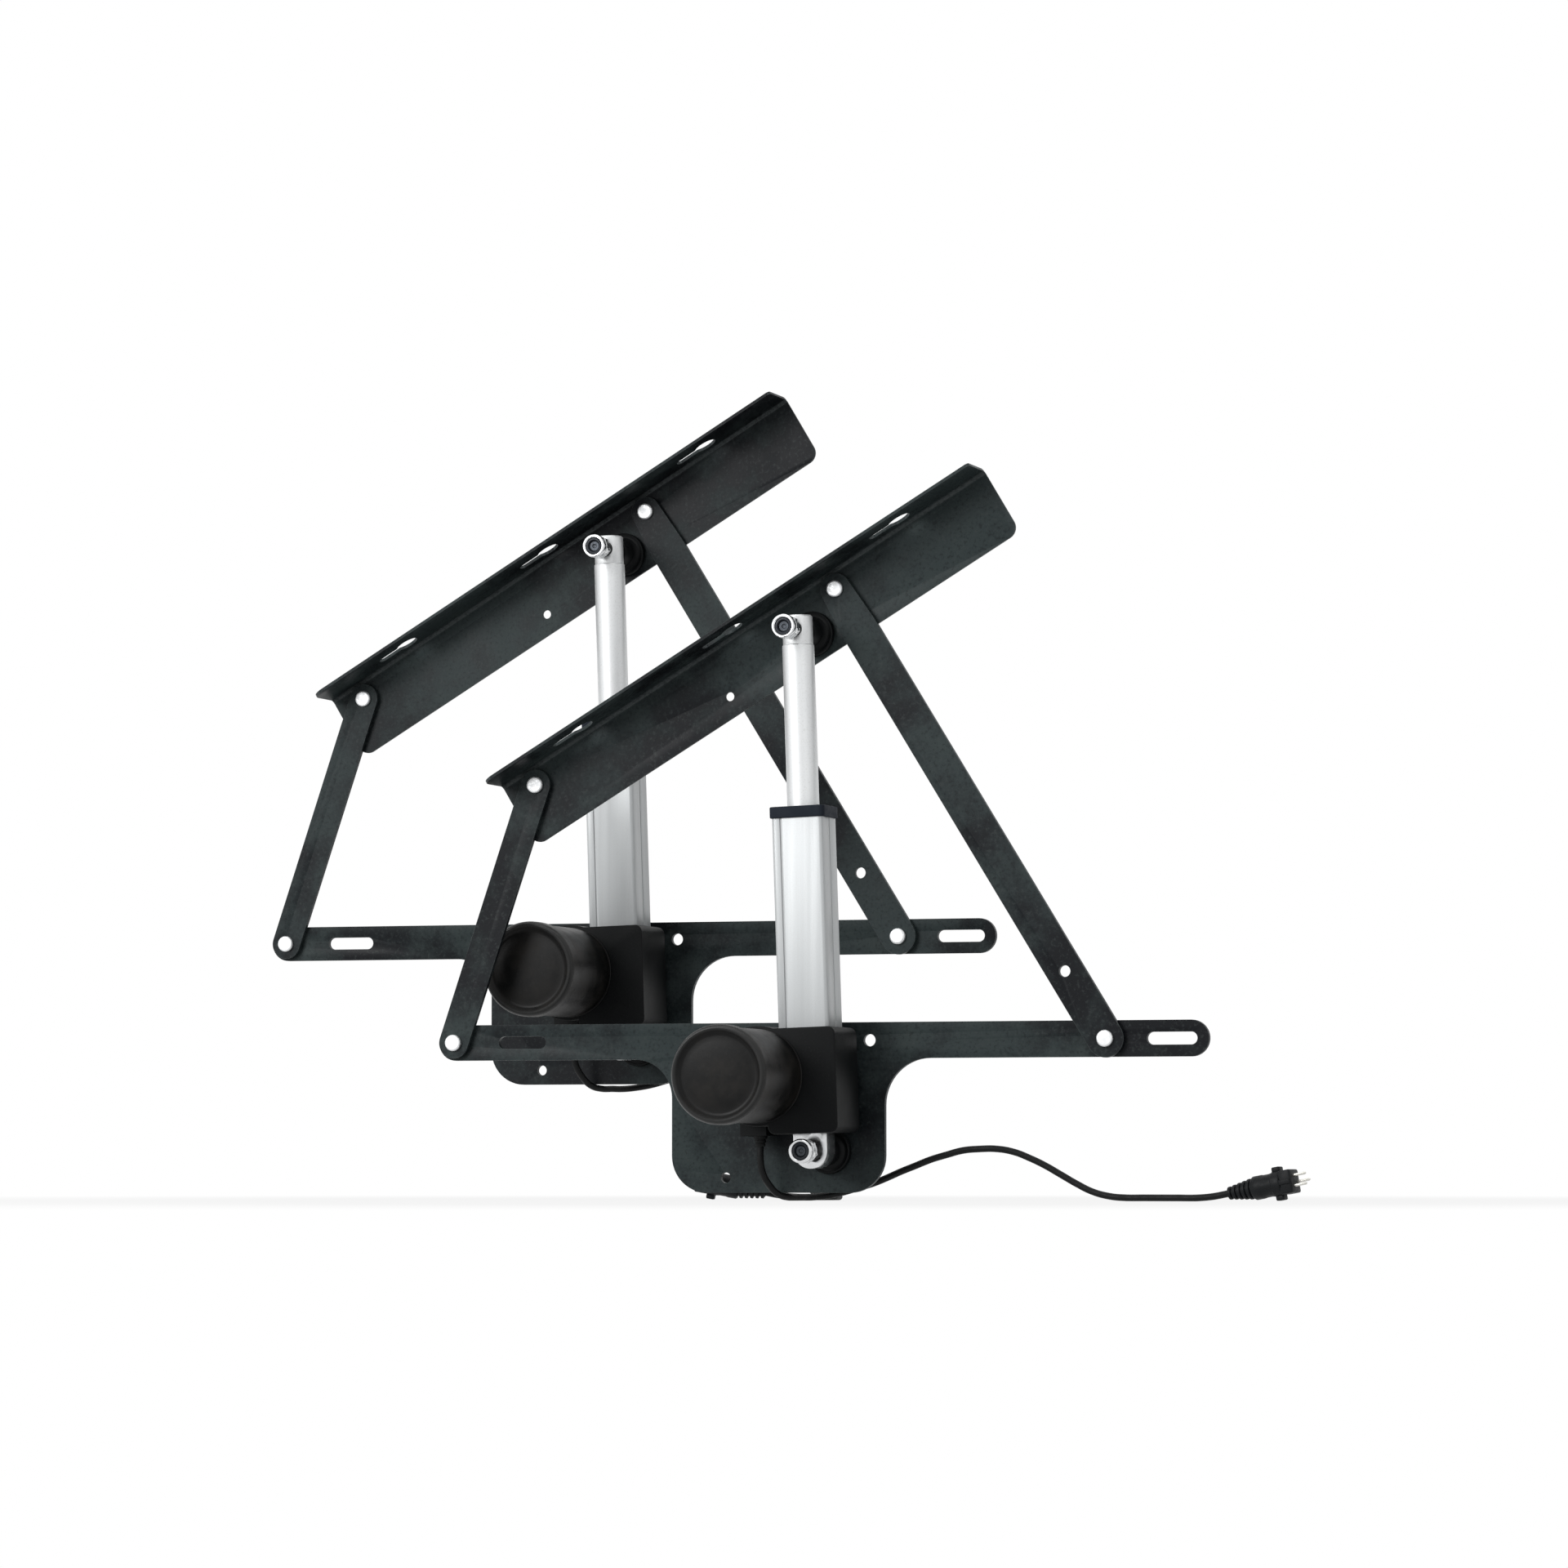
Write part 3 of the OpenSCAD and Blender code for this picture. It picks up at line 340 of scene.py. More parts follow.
def plug_plastic_finish():
    plastic = Finish("plug_plastic", {"Specular IOR Level": 0.16})
    here = plastic.where()
    cloud = plastic.noise(here, 90.0)
    plastic.paint("Base Color", plastic.mix(cloud, (0.0050, 0.0060, 0.0070), (0.0120, 0.0135, 0.0150)))
    plastic.paint("Roughness", plastic.between(plastic.noise(here, 300.0), 0.3, 0.7, 0.40, 0.55))
    plastic.bump(plastic.noise(here, 1500.0, 2.0), 0.00004, 0.5)
    return plastic.material


def nickel_finish():
    nickel = Finish("contact_nickel", {"Metallic": 1.0})
    here = nickel.where()
    nickel.paint(
        "Base Color", nickel.mix(nickel.noise(here, 400.0), (0.52, 0.51, 0.47), (0.72, 0.71, 0.67))
    )
    nickel.paint("Roughness", nickel.between(nickel.noise(here, 700.0), 0.3, 0.7, 0.2, 0.35))
    return nickel.material


plug_plastic, contact_nickel = plug_plastic_finish(), nickel_finish()


def make_plug():
    tail = [(0, -0.4), (3.0, -0.4), (3.6, 0.2)]
    for rib in range(5):
        low, r = rib * 3.6, 4.15 + rib * 0.62
        tail += [(r, low + 0.3), (r + 0.15, low + 0.7), (r + 0.15, low + 1.7), (r, low + 2.1)]
        tail += [(r - 0.95, low + 2.4), (r - 0.85, low + 3.4)]
    grip = [(7.2, 18.2), (7.75, 19.0), (7.75, 24.5), (7.45, 26.0), (7.45, 30.0), (7.75, 31.5)]
    grip += [(7.75, 33.0), (0, 33.0)]
    boot = turned("boot", tail + grip, 48)
    collar = [(0, 32.6), (8.0, 32.6), (8.75, 33.3), (8.75, 38.3), (8.2, 39.0), (0, 39.0)]
    ring = turned("ring", collar, 48)
    ears = [block("ear", (3.4, 7.3, 5.6), (s * 9.2, 0, 36.0), 0.9) for s in (-1, 1)]
    nose = block("nose", (15.4, 14.6, 9.2), (0, 0, 42.6), 1.3)
    rib = block("rib", (3.0, 1.2, 8.0), (0, 7.6, 42.4), 0.4)
    body = joined("plug", [boot, ring, *ears, nose, rib])
    pins = []
    for turn in (22, 142, 262):
        pin = turned("pin", [(0, 44), (0.95, 44), (0.95, 55.2), (0.55, 56.0), (0, 56.1)], 20)
        a = math.radians(turn)
        pin.location = Vector((math.cos(a), math.sin(a), 0)) * 3.9 * MM
        alone(pin)
        bpy.ops.object.transform_apply(location=True, rotation=True, scale=True)
        pins.append(pin)
    return dress(body, plug_plastic), dress(joined("pins", pins), contact_nickel)


for unit, (_, points) in leads.items():
    heading = points[-1] - points[-2]
    turn = heading.to_track_quat("Z", "X").to_euler()
    body, pins = make_plug()
    for piece, name in ((body, unit + "_plug"), (pins, unit + "_plug_pins")):
        piece.name = piece.data.name = name
        piece.location, piece.rotation_euler = points[-1], turn
        settle(piece, 35)
        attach(piece, "base")
        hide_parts(unit + "_lead_plug")

# Glands: a short ribbed rubber sleeve pushed up into the gearbox's foot, which keeps
# the lead from kinking where it comes out. With them each lead is complete.
gland_profile = [(0, -0.3), (2.9, -0.3), (3.25, 0.1), (3.4, 1.3), (3.0, 1.5), (3.1, 2.2), (3.75, 2.4)]
gland_profile += [(3.9, 3.6), (3.45, 3.8), (3.55, 4.5), (4.3, 4.7), (4.7, 6.0), (4.75, 13.9), (0, 13.9)]
for unit, (_, points) in leads.items():
    gland = turned(unit + "_gland", gland_profile, 40)
    gland.location = points[0]
    settle(dress(gland, lead_pvc), 35)
    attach(gland, unit + "_actuator")
    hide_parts(unit + "_cable_gland")

for unit, (lead, points) in leads.items():
    along = sum((b - a).length for a, b in zip(points, points[1:]))
    unit + "_plug"
    unit + "_plug_pins"
    unit + "_gland"

# Base plates, arms and lift rails: mild steel sheet of 2 to 4 mm, cut by laser, the
# rails folded to an angle, all powder coated in a satin black with a faint green cast,
# with a painted highlight that lightens their edges and the fold.


def steel_paint_finish():
    paint = Finish("black_powder_coat", {"Specular IOR Level": 0.14})
    here = paint.where()
    broad = paint.noise(paint.where(shift=(0.81, 1.5, 1.2)), 6.5, 1.0)
    patch = paint.noise(here, 34.0, 5.0, 0.62)
    grain = paint.noise(here, 430.0, 3.0, 0.6)
    teal = paint.between(0.62 * broad + 0.38 * patch, 0.41, 0.58)
    tint = paint.mix(teal, (0.0060, 0.0072, 0.0095), (0.0400, 0.0540, 0.0555))
    worn = paint.between(patch, 0.48, 0.76, 0.0, 0.6) * (0.3 + 0.7 * teal)
    tint = paint.mix(worn, tint, (0.0560, 0.0720, 0.0700))
    tint = paint.mix(paint.between(grain, 0.30, 0.48, 0.5, 0.0), tint, (0.0060, 0.0070, 0.0085))
    tint = paint.mix(paint.between(grain, 0.52, 0.72, 0.0, 0.45), tint, (0.0620, 0.0720, 0.0720))
    # Painted highlight: the faces of the fold and of the rounded edges are coloured lighter.
    painted_edge_highlight = paint.node("Attribute", {"attribute_name": "painted_edge_highlight"}, output=2)
    painted_highlight_share = painted_edge_highlight * paint.between(grain, 0.35, 0.6, 0.35, 0.8)
    tint = paint.mix(painted_highlight_share, tint, (0.1000, 0.1120, 0.1150))
    paint.paint("Base Color", tint)
    paint.paint("Roughness", paint.between(patch, 0.3, 0.7, 0.36, 0.50))
    peel = paint.noise(here, 650.0, 1.0) + 0.35 * paint.noise(here, 1800.0, 1.0)
    paint.bump(peel, 0.00006, 0.45)
    return paint.material


black_paint = steel_paint_finish()


def merged_copy(node, name):
    """A copy of a solid, its loose triangles merged back into whole faces."""
    mesh = frame["nodes"][node].data.copy()
    piece = bpy.data.objects.new(name, mesh)
    mesh.name = name
    bpy.context.scene.collection.objects.link(piece)
    alone(piece)
    bpy.ops.object.mode_set(mode="EDIT")
    bpy.ops.mesh.select_all(action="SELECT")
    bpy.ops.mesh.remove_doubles(threshold=0.000002)
    bpy.ops.mesh.dissolve_limited(angle_limit=math.radians(0.6))
    bpy.ops.object.mode_set(mode="OBJECT")
    return piece


def stand_in(piece, node, smooth):
    """Lets a reworked copy take its solid's place, on the same body."""
    settle(piece, smooth)
    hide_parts(node)
    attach(piece, frame["nodes"][node]["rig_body"])
    return piece


def cut_from(node, name, edge, segments=2, smooth=26.0):
    """A solid again, with its sharp edges rounded by a few tenths of a millimetre."""
    piece = merged_copy(node, name)
    rounded = piece.modifiers.new("rounded", "BEVEL")
    rounded.limit_method, rounded.angle_limit = "ANGLE", math.radians(40)
    rounded.width, rounded.segments = edge * MM, segments
    bpy.ops.object.modifier_apply(modifier=rounded.name)
    return stand_in(piece, node, smooth)


for unit, _ in UNITS:
    for part in ("base_plate", "long_arm", "short_arm", "lift_rail"):
        edge = 0.3 if part == "lift_rail" else 0.35
        sheet = cut_from(unit + "_" + part, unit + "_sheet_" + part, edge)
        # Faces of the fold and of the rounded edges, marked for the painted highlight in the paint.
        painted_edge_highlight = sheet.data.attributes.new("painted_edge_highlight", "FLOAT", "FACE")
        for face in sheet.data.polygons:
            painted_edge_highlight.data[face.index].value = 1.0 if 0.15 < abs(face.normal.y) < 0.97 else 0.0
        dress(sheet, black_paint)

# Pivot rivets: 7 mm zinc-plated steel with broad flat heads, closed at the back. The
# head of each lies on the arm in front. A stub closes the left hole of each base plate
# behind the arm's own rivet, and another carries the boss on the rail.


def zinc_finish():
    zinc = Finish("rivet_zinc", {"Metallic": 0.55, "Specular IOR Level": 0.4})
    here = zinc.where()
    cloud = zinc.noise(here, 160.0, 3.0)
    zinc.paint("Base Color", zinc.mix(cloud, (0.90, 0.92, 0.93), (0.96, 0.97, 0.98)))
    zinc.paint("Roughness", zinc.between(zinc.noise(here, 380.0), 0.3, 0.7, 0.30, 0.46))
    zinc.bump(zinc.noise(here, 700.0, 2.0), 0.00004, 0.4)
    return zinc.material


rivet_zinc = zinc_finish()
TO_FRONT = (math.radians(90), 0, 0)
JOINTS = {joint["name"]: joint for joint in frame["joints"]}


def pivot(joint):
    """The place of a joint's pin in millimetres."""
    return Vector(JOINTS[joint]["pos_m"]) / MM


def centre_line(node):
    """Where the middle of a round piece meets the back of the front unit, in millimetres."""
    low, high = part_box(node)
    return Vector(((low.x + high.x) / 2, 0, (low.z + high.z) / 2)) / MM


GROUND_LEFT, GROUND_RIGHT = centre_line("front_short_arm_rivet"), pivot("front_lift")
RAIL_LEFT, RAIL_RIGHT = pivot("front_short_arm_swing"), pivot("front_rail_tilt")
LOWER_PIN, UPPER_PIN = pivot("front_actuator_swing"), centre_line("front_upper_bolt")


def rivet(name, at, back):
    profile = [(0, back), (3.2, back), (3.5, back + 0.3), (3.5, 8.6), (5.35, 8.6), (5.6, 8.85)]
    profile += [(5.6, 9.9), (5.45, 10.5), (5.1, 10.95), (4.7, 11.15)]
    profile += [(4.4, 11.2), (4.2, 11.2), (0, 11.2)]
    piece = turned(name, profile, 48)
    piece.location, piece.rotation_euler = at * MM, TO_FRONT
    return settle(piece, 35)


def stub(name, at, back, front, radius):
    profile = [(0, back), (radius - 0.3, back), (radius, back + 0.3), (radius, front), (0, front)]
    piece = turned(name, profile, 32)
    piece.location, piece.rotation_euler = at * MM, TO_FRONT
    return settle(piece, 35)


ground = joined("ground", [rivet("a", GROUND_RIGHT, 0.0), stub("b", GROUND_LEFT, 0.0, 4.0, 3.5)])
foot = rivet("foot", GROUND_LEFT, 4.3)
rail = joined(
    "rail",
    [rivet("c", RAIL_LEFT, 2.0), rivet("d", RAIL_RIGHT, 2.0), stub("e", UPPER_PIN, 2.0, 12.0, 4.0)],
)
for unit, offset in UNITS:
    for source, name, node, body in (
        (ground, "ground_rivets", "base_pivot_rivets", "base"),
        (foot, "foot_rivet", unit + "_short_arm_rivet", unit + "_short_arm"),
        (rail, "rail_rivets", unit + "_rail_pins", unit + "_lift_rail"),
    ):
        piece = dress(copied(source, unit + "_" + name, offset), rivet_zinc)
        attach(piece, body)
        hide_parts(node)
for source in (ground, foot, rail):
    bpy.data.objects.remove(source)

# Gearboxes: a two-part case of black glass-filled nylon. The back half carries the
# lug and the gland, the front half the round flange that the motor is bolted to.
along_x, _, along_z = JOINTS["front_screw_spin"]["axis"]
AXIS_LEAN = math.atan2(-along_x, along_z)
AXIS_TURN = (0, -AXIS_LEAN, 0)
AXIS_FROM = pivot("front_screw_spin") * MM


def case_finish():
    case = Finish("case_nylon", {"Specular IOR Level": 0.11})
    here = case.where()
    cloud = case.noise(here, 26.0, 4.0, 0.55)
    speck = case.noise(here, 1300.0, 1.0)
    tint = case.mix(case.between(cloud, 0.3, 0.75), (0.0030, 0.0036, 0.0040), (0.0085, 0.0095, 0.0100))
    tint = case.mix(case.between(speck, 0.58, 0.75, 0.0, 0.4), tint, (0.016, 0.017, 0.018))
    case.paint("Base Color", tint)
    case.paint("Roughness", case.between(cloud, 0.3, 0.7, 0.44, 0.58))
    case.bump(speck, 0.00006, 0.5)
    return case.material


case_nylon = case_finish()


def moulded(node, name, chosen, width, segments):
    """A moulded solid again, the outer edges that are picked by place rounded wide."""
    piece = merged_copy(node, name)
    mesh = piece.data
    weights = mesh.attributes.new("bevel_weight_edge", "FLOAT", "EDGE")
    faces = {}
    for face in mesh.polygons:
        for key in face.edge_keys:
            faces.setdefault(key, []).append(face.normal)
    for edge in mesh.edges:
        sides = faces.get(tuple(sorted(edge.vertices)), [])
        sharp = len(sides) == 2 and sides[0].angle(sides[1], 0.0) > math.radians(30)
        middle = (mesh.vertices[edge.vertices[0]].co + mesh.vertices[edge.vertices[1]].co) / 2
        if sharp and chosen(middle / MM):
            weights.data[edge.index].value = 1.0
    rounded = piece.modifiers.new("rounded", "BEVEL")
    rounded.limit_method, rounded.width, rounded.segments = "WEIGHT", width * MM, segments
    bpy.ops.object.modifier_apply(modifier=rounded.name)
    return stand_in(piece, node, 32)


for unit, offset in UNITS:
    front_face, joint_face = -62.0 + offset.y / MM, -38.0 + offset.y / MM
    cover = moulded(
        unit + "_gearbox_cover", unit + "_case_front",
        lambda p: abs(p.y - front_face) < 0.2, 1.2, 3,
    )
    housing = moulded(
        unit + "_gearbox_housing", unit + "_case_back",
        lambda p: p.y > joint_face + 6.0, 0.8, 2,
    )
    for piece in (cover, housing):
        dress(piece, case_nylon)

# Motors: a 62 mm drawn steel can, sprayed black, closed by a pressed end cap whose
# rounded rim stands round a shallow dome. Painted shade darkens the face towards the
# dome's foot, and a painted highlight lightens the rim.


def can_finish():
    can = Finish("motor_paint", {"Specular IOR Level": 0.17})
    here = can.where()
    cloud = can.noise(here, 42.0, 3.0, 0.6)
    fine = can.noise(here, 380.0, 3.0)
    edge = can.node("Attribute", {"attribute_name": "from_axis"}, output=2)
    tint = can.mix(can.between(cloud, 0.38, 0.68), (0.0022, 0.0023, 0.0024), (0.0145, 0.0130, 0.0115))
    tint = can.mix(can.between(fine, 0.55, 0.75, 0.0, 0.4), tint, (0.018, 0.0175, 0.017))
    # Painted shade: the cap's face is darkened in a band towards the dome's foot.
    shade = can.between(edge, 0.35, 0.80, 0.0, 0.6) - can.between(edge, 0.80, 0.89, 0.0, 0.6)
    tint = can.mix(shade, tint, (0.0022, 0.0023, 0.0024))
    # Painted highlight: a lighter, slightly glossier band round the cap's rim.
    rim_highlight = can.between(edge, 0.86, 0.92) - can.between(edge, 0.97, 0.998)
    tint = can.mix(0.65 * rim_highlight, tint, (0.052, 0.053, 0.053))
    can.paint("Base Color", tint)
    can.paint("Roughness", can.between(cloud, 0.3, 0.7, 0.34, 0.46) - 0.08 * rim_highlight)
    can.bump(fine, 0.00008, 0.5)
    return can.material


motor_paint = can_finish()
CAP_R = 32.5
motor_at = centre_line("front_motor_can") * MM
can_profile = [(29, 62.0), (31, 62.0), (31, 62.9), (30.6, 63.3), (30.6, 64.4), (31, 64.8)]
can_profile += [(31, 131.0), (30.4, 135.0), (29, 136.0), (3.1, 136.0), (3.1, 134.0)]
can_profile += [(29, 134.0), (29, 62.0)]
cap_profile = [(0, 136.1), (31.05, 136.1), (31.1, 131.0), (32.2, 131.0), (CAP_R, 131.4)]
cap_profile += [(CAP_R, 140.2), (32.35, 141.6), (31.9, 143.0), (31.3, 144.1)]
cap_profile += [(30.6, 144.8), (29.9, 145.0), (29.2, 144.7)]
cap_profile += [(28.4, 144.1), (27.7, 143.4), (26.9, 142.8), (26.0, 142.4), (24.8, 142.3)]
cap_profile += [(21.5, 142.7), (17.0, 143.1), (11.0, 143.4), (6.0, 143.55), (0.0, 143.6)]
for unit, offset in UNITS:
    can = turned(unit + "_can", can_profile, 96)
    cap = turned(unit + "_cap", cap_profile, 96)
    for piece, node in ((can, "_motor_can"), (cap, "_motor_cap")):
        from_axis = piece.data.attributes.new("from_axis", "FLOAT", "POINT")
        for point in piece.data.vertices:
            radius = math.hypot(point.co.x, point.co.y) / (CAP_R * MM)
            from_axis.data[point.index].value = radius if piece is cap else 1.0
        piece.location, piece.rotation_euler = motor_at + offset, TO_FRONT
        settle(dress(piece, motor_paint), 28)
        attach(piece, unit + "_actuator")
        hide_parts(unit + node)

# Outer tubes: extruded aluminium, 35 by 32 mm, with two grooves down the front and the
# back and the faint lines of the die, anodised in silver. A collar of black rubber is
# pushed over the top of each.


def anodised_finish():
    silver = Finish("silver_anodised", {"Specular IOR Level": 0.3})
    fibre = silver.where((0, AXIS_LEAN, 0), (1.0, 1.0, 0.02))
    here = silver.where()
    lines = silver.noise(fibre, 900.0, 3.0, 0.6)
    bands = silver.noise(fibre, 130.0, 2.0)
    grain = silver.noise(here, 1500.0, 2.0)
    tint = silver.mix(silver.between(bands, 0.3, 0.7), (0.68, 0.705, 0.715), (0.74, 0.765, 0.775))
    tint = silver.mix(silver.between(lines, 0.52, 0.75, 0.0, 0.25), tint, (0.62, 0.63, 0.63))
    tint = silver.mix(silver.between(grain, 0.45, 0.8, 0.0, 0.35), tint, (0.60, 0.59, 0.56))
    # Painted shade: the faces inside the grooves are coloured darker.
    painted_groove_shade = silver.node("Attribute", {"attribute_name": "in_groove"}, output=2)
    silver.paint("Base Color", silver.mix(0.35 * painted_groove_shade, tint, (0.40, 0.41, 0.415)))
    silver.paint("Metallic", silver.between(bands, 0.2, 0.8, 0.16, 0.24))
    silver.paint("Roughness", silver.between(grain, 0.3, 0.7, 0.36, 0.48))
    silver.bump(lines + 0.5 * grain, 0.00004, 0.5)
    return silver.material


def rod_finish():
    rod = Finish("rod_steel", {"Specular IOR Level": 0.3})
    here = rod.where()
    grain = rod.noise(here, 900.0, 2.0)
    cloud = rod.noise(here, 90.0, 3.0)
    tint = rod.mix(cloud, (0.87, 0.89, 0.90), (0.93, 0.945, 0.95))
    rod.paint("Base Color", rod.mix(rod.between(grain, 0.5, 0.8, 0.0, 0.4), tint, (0.66, 0.66, 0.65)))
    rod.paint("Metallic", rod.between(grain, 0.3, 0.7, 0.46, 0.56))
    rod.paint("Roughness", rod.between(grain, 0.3, 0.7, 0.40, 0.50))
    rod.bump(grain, 0.00003, 0.4)
    return rod.material


def collar_finish():
    rubber = Finish("collar_rubber", {"Specular IOR Level": 0.05})
    here = rubber.where()
    cloud = rubber.noise(here, 70.0, 3.0)
    rubber.paint("Base Color", rubber.mix(cloud, (0.0190, 0.0240, 0.0340), (0.0400, 0.0480, 0.0620)))
    rubber.paint("Roughness", rubber.between(rubber.noise(here, 260.0), 0.3, 0.7, 0.50, 0.64))
    rubber.bump(rubber.noise(here, 1100.0, 2.0), 0.00004, 0.5)
    return rubber.material


silver_anodised, rod_steel, collar_rubber = anodised_finish(), rod_finish(), collar_finish()
upright = Matrix.Rotation(AXIS_LEAN, 3, "Y")
GROOVE_X, GROOVE_HALF = 11.0, 1.2
for unit, offset in UNITS:
    tube = cut_from(unit + "_outer_tube", unit + "_tube", 0.3, 2, 30)
    # Faces inside the grooves, marked for their painted shade.
    painted_groove_shade = tube.data.attributes.new("in_groove", "FLOAT", "FACE")
    for face in tube.data.polygons:
        x, y, _ = upright @ (face.center - AXIS_FROM - offset) / MM
        in_groove = abs(abs(x) - GROOVE_X) < GROOVE_HALF and 14.8 < abs(y) < 15.7
        painted_groove_shade.data[face.index].value = 1.0 if in_groove else 0.0
    dress(tube, silver_anodised)
    collar = cut_from(unit + "_tube_collar", unit + "_collar", 0.8, 3, 35)
    dress(collar, collar_rubber)

# Lift rods, heads and lugs: a 21 mm tube of bright drawn steel, in its end a steel plug
# through which the upper pivot bolt passes, and at the other end of the actuator a
# plated steel lug on the lower pivot.
rod_profile = [(7.2, 184.6), (10.4, 184.6), (10.6, 184.8), (10.6, 334.2), (10.3, 334.6)]
rod_profile += [(7.2, 334.6), (7.2, 184.6)]


def bright_finish():
    bright = Finish("bright_steel", {"Specular IOR Level": 0.5})
    here = bright.where()
    cloud = bright.noise(here, 130.0, 3.0)
    bright.paint("Base Color", bright.mix(cloud, (0.62, 0.63, 0.64), (0.82, 0.83, 0.84)))
    bright.paint("Metallic", bright.between(cloud, 0.0, 1.0, 0.92, 1.0))
    bright.paint("Roughness", bright.between(bright.noise(here, 320.0), 0.3, 0.7, 0.14, 0.26))
    bright.bump(bright.noise(here, 85.0, 1.0), 0.0003, 0.15)
    return bright.material


bright_steel = bright_finish()
for unit, offset in UNITS:
    rod = turned(unit + "_rod", rod_profile, 64)
    rod.location, rod.rotation_euler = AXIS_FROM + offset, AXIS_TURN
    settle(dress(rod, rod_steel), 30)
    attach(rod, unit + "_rod")
    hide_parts(unit + "_lift_rod")
    head = cut_from(unit + "_rod_head", unit + "_head", 0.4, 2, 30)
    dress(head, rod_steel)
    lug = cut_from(unit + "_lower_lug", unit + "_lug", 1.6, 4, 30)
    dress(lug, bright_steel)

# Pivot bosses and sleeves: moulded in the same black nylon as the case. Each boss has a
# broad dished foot against the steel, and a narrow sleeve keeps the nut off the eye.
dished_foot = [(13.2, 0.0), (14.6, 0.3), (15.0, 0.9), (15.0, 3.6), (14.6, 4.3), (13.8, 4.6)]
dished_foot += [(12.6, 4.2), (11.6, 4.3), (10.4, 5.2), (9.4, 6.6), (9.0, 8.0)]


def boss_foot(name, at, base, rest):
    profile = [(4.05, base)] + [(r, base + h) for r, h in dished_foot] + rest
    piece = turned(name, profile, 56)
    piece.location, piece.rotation_euler = at * MM, TO_FRONT
    return settle(dress(piece, case_nylon), 30)


lower_rest = [(9.0, 28.2), (8.6, 28.65), (5.5, 28.7), (5.5, 54.6), (5.2, 55.0)]
lower_rest += [(4.05, 55.0), (4.05, 4.0)]
upper_rest = [(4.05, 12.0), (4.05, 4.0)]
sleeve_profile = [(4.05, 12.3), (8.6, 12.3), (9.0, 12.7), (9.0, 27.6), (8.6, 28.0), (5.5, 28.0)]
sleeve_profile += [(5.5, 55.6), (5.2, 56.0), (4.05, 56.0), (4.05, 12.3)]
for unit, offset in UNITS:
    lower = boss_foot(unit + "_lower_boss", LOWER_PIN + offset / MM, 4.0, lower_rest)
    upper = boss_foot(unit + "_upper_boss", UPPER_PIN + offset / MM, 4.0, upper_rest)
    sleeve = turned(unit + "_sleeve", sleeve_profile, 48)
    sleeve.location, sleeve.rotation_euler = UPPER_PIN * MM + offset, TO_FRONT
    settle(dress(sleeve, case_nylon), 30)
    for piece, body, node in (
        (lower, "base", "lower_pivot_bosses"),
        (upper, unit + "_lift_rail", unit + "_rail_boss"),
        (sleeve, unit + "_rod", unit + "_upper_sleeve"),
    ):
        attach(piece, body)
        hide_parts(node)

# Lock nuts and bolt ends: M8 bolts of blackened steel, each with a long bright-plated
# nut that has six flats at its back, a round collar and a nylon ring inside it.


def black_bolt_finish():
    black = Finish("blackened_bolt", {"Specular IOR Level": 0.5})
    here = black.where()
    cloud = black.noise(here, 500.0, 3.0)
    black.paint("Base Color", black.mix(cloud, (0.020, 0.024, 0.030), (0.075, 0.085, 0.100)))
    black.paint("Metallic", black.between(cloud, 0.2, 0.8, 0.5, 0.8))
    black.paint("Roughness", black.between(black.noise(here, 900.0), 0.3, 0.7, 0.28, 0.45))
    return black.material


def nylon_ring_finish():
    ring = Finish("nut_nylon", {"Specular IOR Level": 0.4})
    here = ring.where()
    cloud = ring.noise(here, 700.0)
    ring.paint("Base Color", ring.mix(cloud, (0.016, 0.019, 0.026), (0.040, 0.046, 0.058)))
    ring.paint("Roughness", ring.between(ring.noise(here, 1200.0), 0.3, 0.7, 0.38, 0.5))
    return ring.material


blackened_bolt, nut_nylon = black_bolt_finish(), nylon_ring_finish()


def lock_nut(name, at, seat):
    collar = [(4.3, 0.2), (7.0, 0.2), (7.5, 0.7), (7.5, 7.2), (7.1, 7.6), (7.1, 8.4), (7.7, 8.9)]
    collar += [(8.0, 9.6), (8.0, 13.5), (7.7, 14.4), (7.1, 14.9), (6.5, 14.9), (5.8, 14.3), (5.5, 13.4)]
    collar += [(5.4, 12.4), (4.3, 12.4), (4.3, 0.2)]
    body = turned("collar", collar, 56)
    bpy.ops.object.select_all(action="DESELECT")
    middle = Vector((0, 0, 3.5)) * MM
    bpy.ops.mesh.primitive_cylinder_add(vertices=6, radius=8.3 * MM, depth=6.6 * MM, location=middle)
    flats = begin("flats", middle, (0, 0, math.radians(12)))
    bpy.ops.object.transform_apply(location=True, rotation=True, scale=True)
    rounded = flats.modifiers.new("rounded", "BEVEL")
    rounded.width, rounded.segments = 0.45 * MM, 2
    bpy.ops.object.modifier_apply(modifier=rounded.name)
    bright = dress(joined("nut", [body, flats]), bright_steel)
    ring_profile = [(3.7, 11.9), (5.7, 11.9), (5.7, 12.8), (5.2, 13.7), (4.4, 13.9)]
    ring_profile += [(3.9, 13.3), (3.7, 11.9)]
    ring = dress(turned("ring", ring_profile, 56), nut_nylon)
    piece = joined(name, [bright, ring])
    piece.location = at * MM + Vector((0, -seat, 0)) * MM
    piece.rotation_euler = TO_FRONT
    return settle(piece, 32)


def bolt(name, at, back, front):
    profile = [(0, back), (3.7, back), (4.0, back + 0.3), (4.0, front - 1.0), (3.2, front)]
    profile += [(1.6, front), (1.2, front - 0.5), (0, front - 0.7)]
    piece = turned(name, profile, 40)
    piece.location, piece.rotation_euler = at * MM, TO_FRONT
    return settle(dress(piece, blackened_bolt), 30)


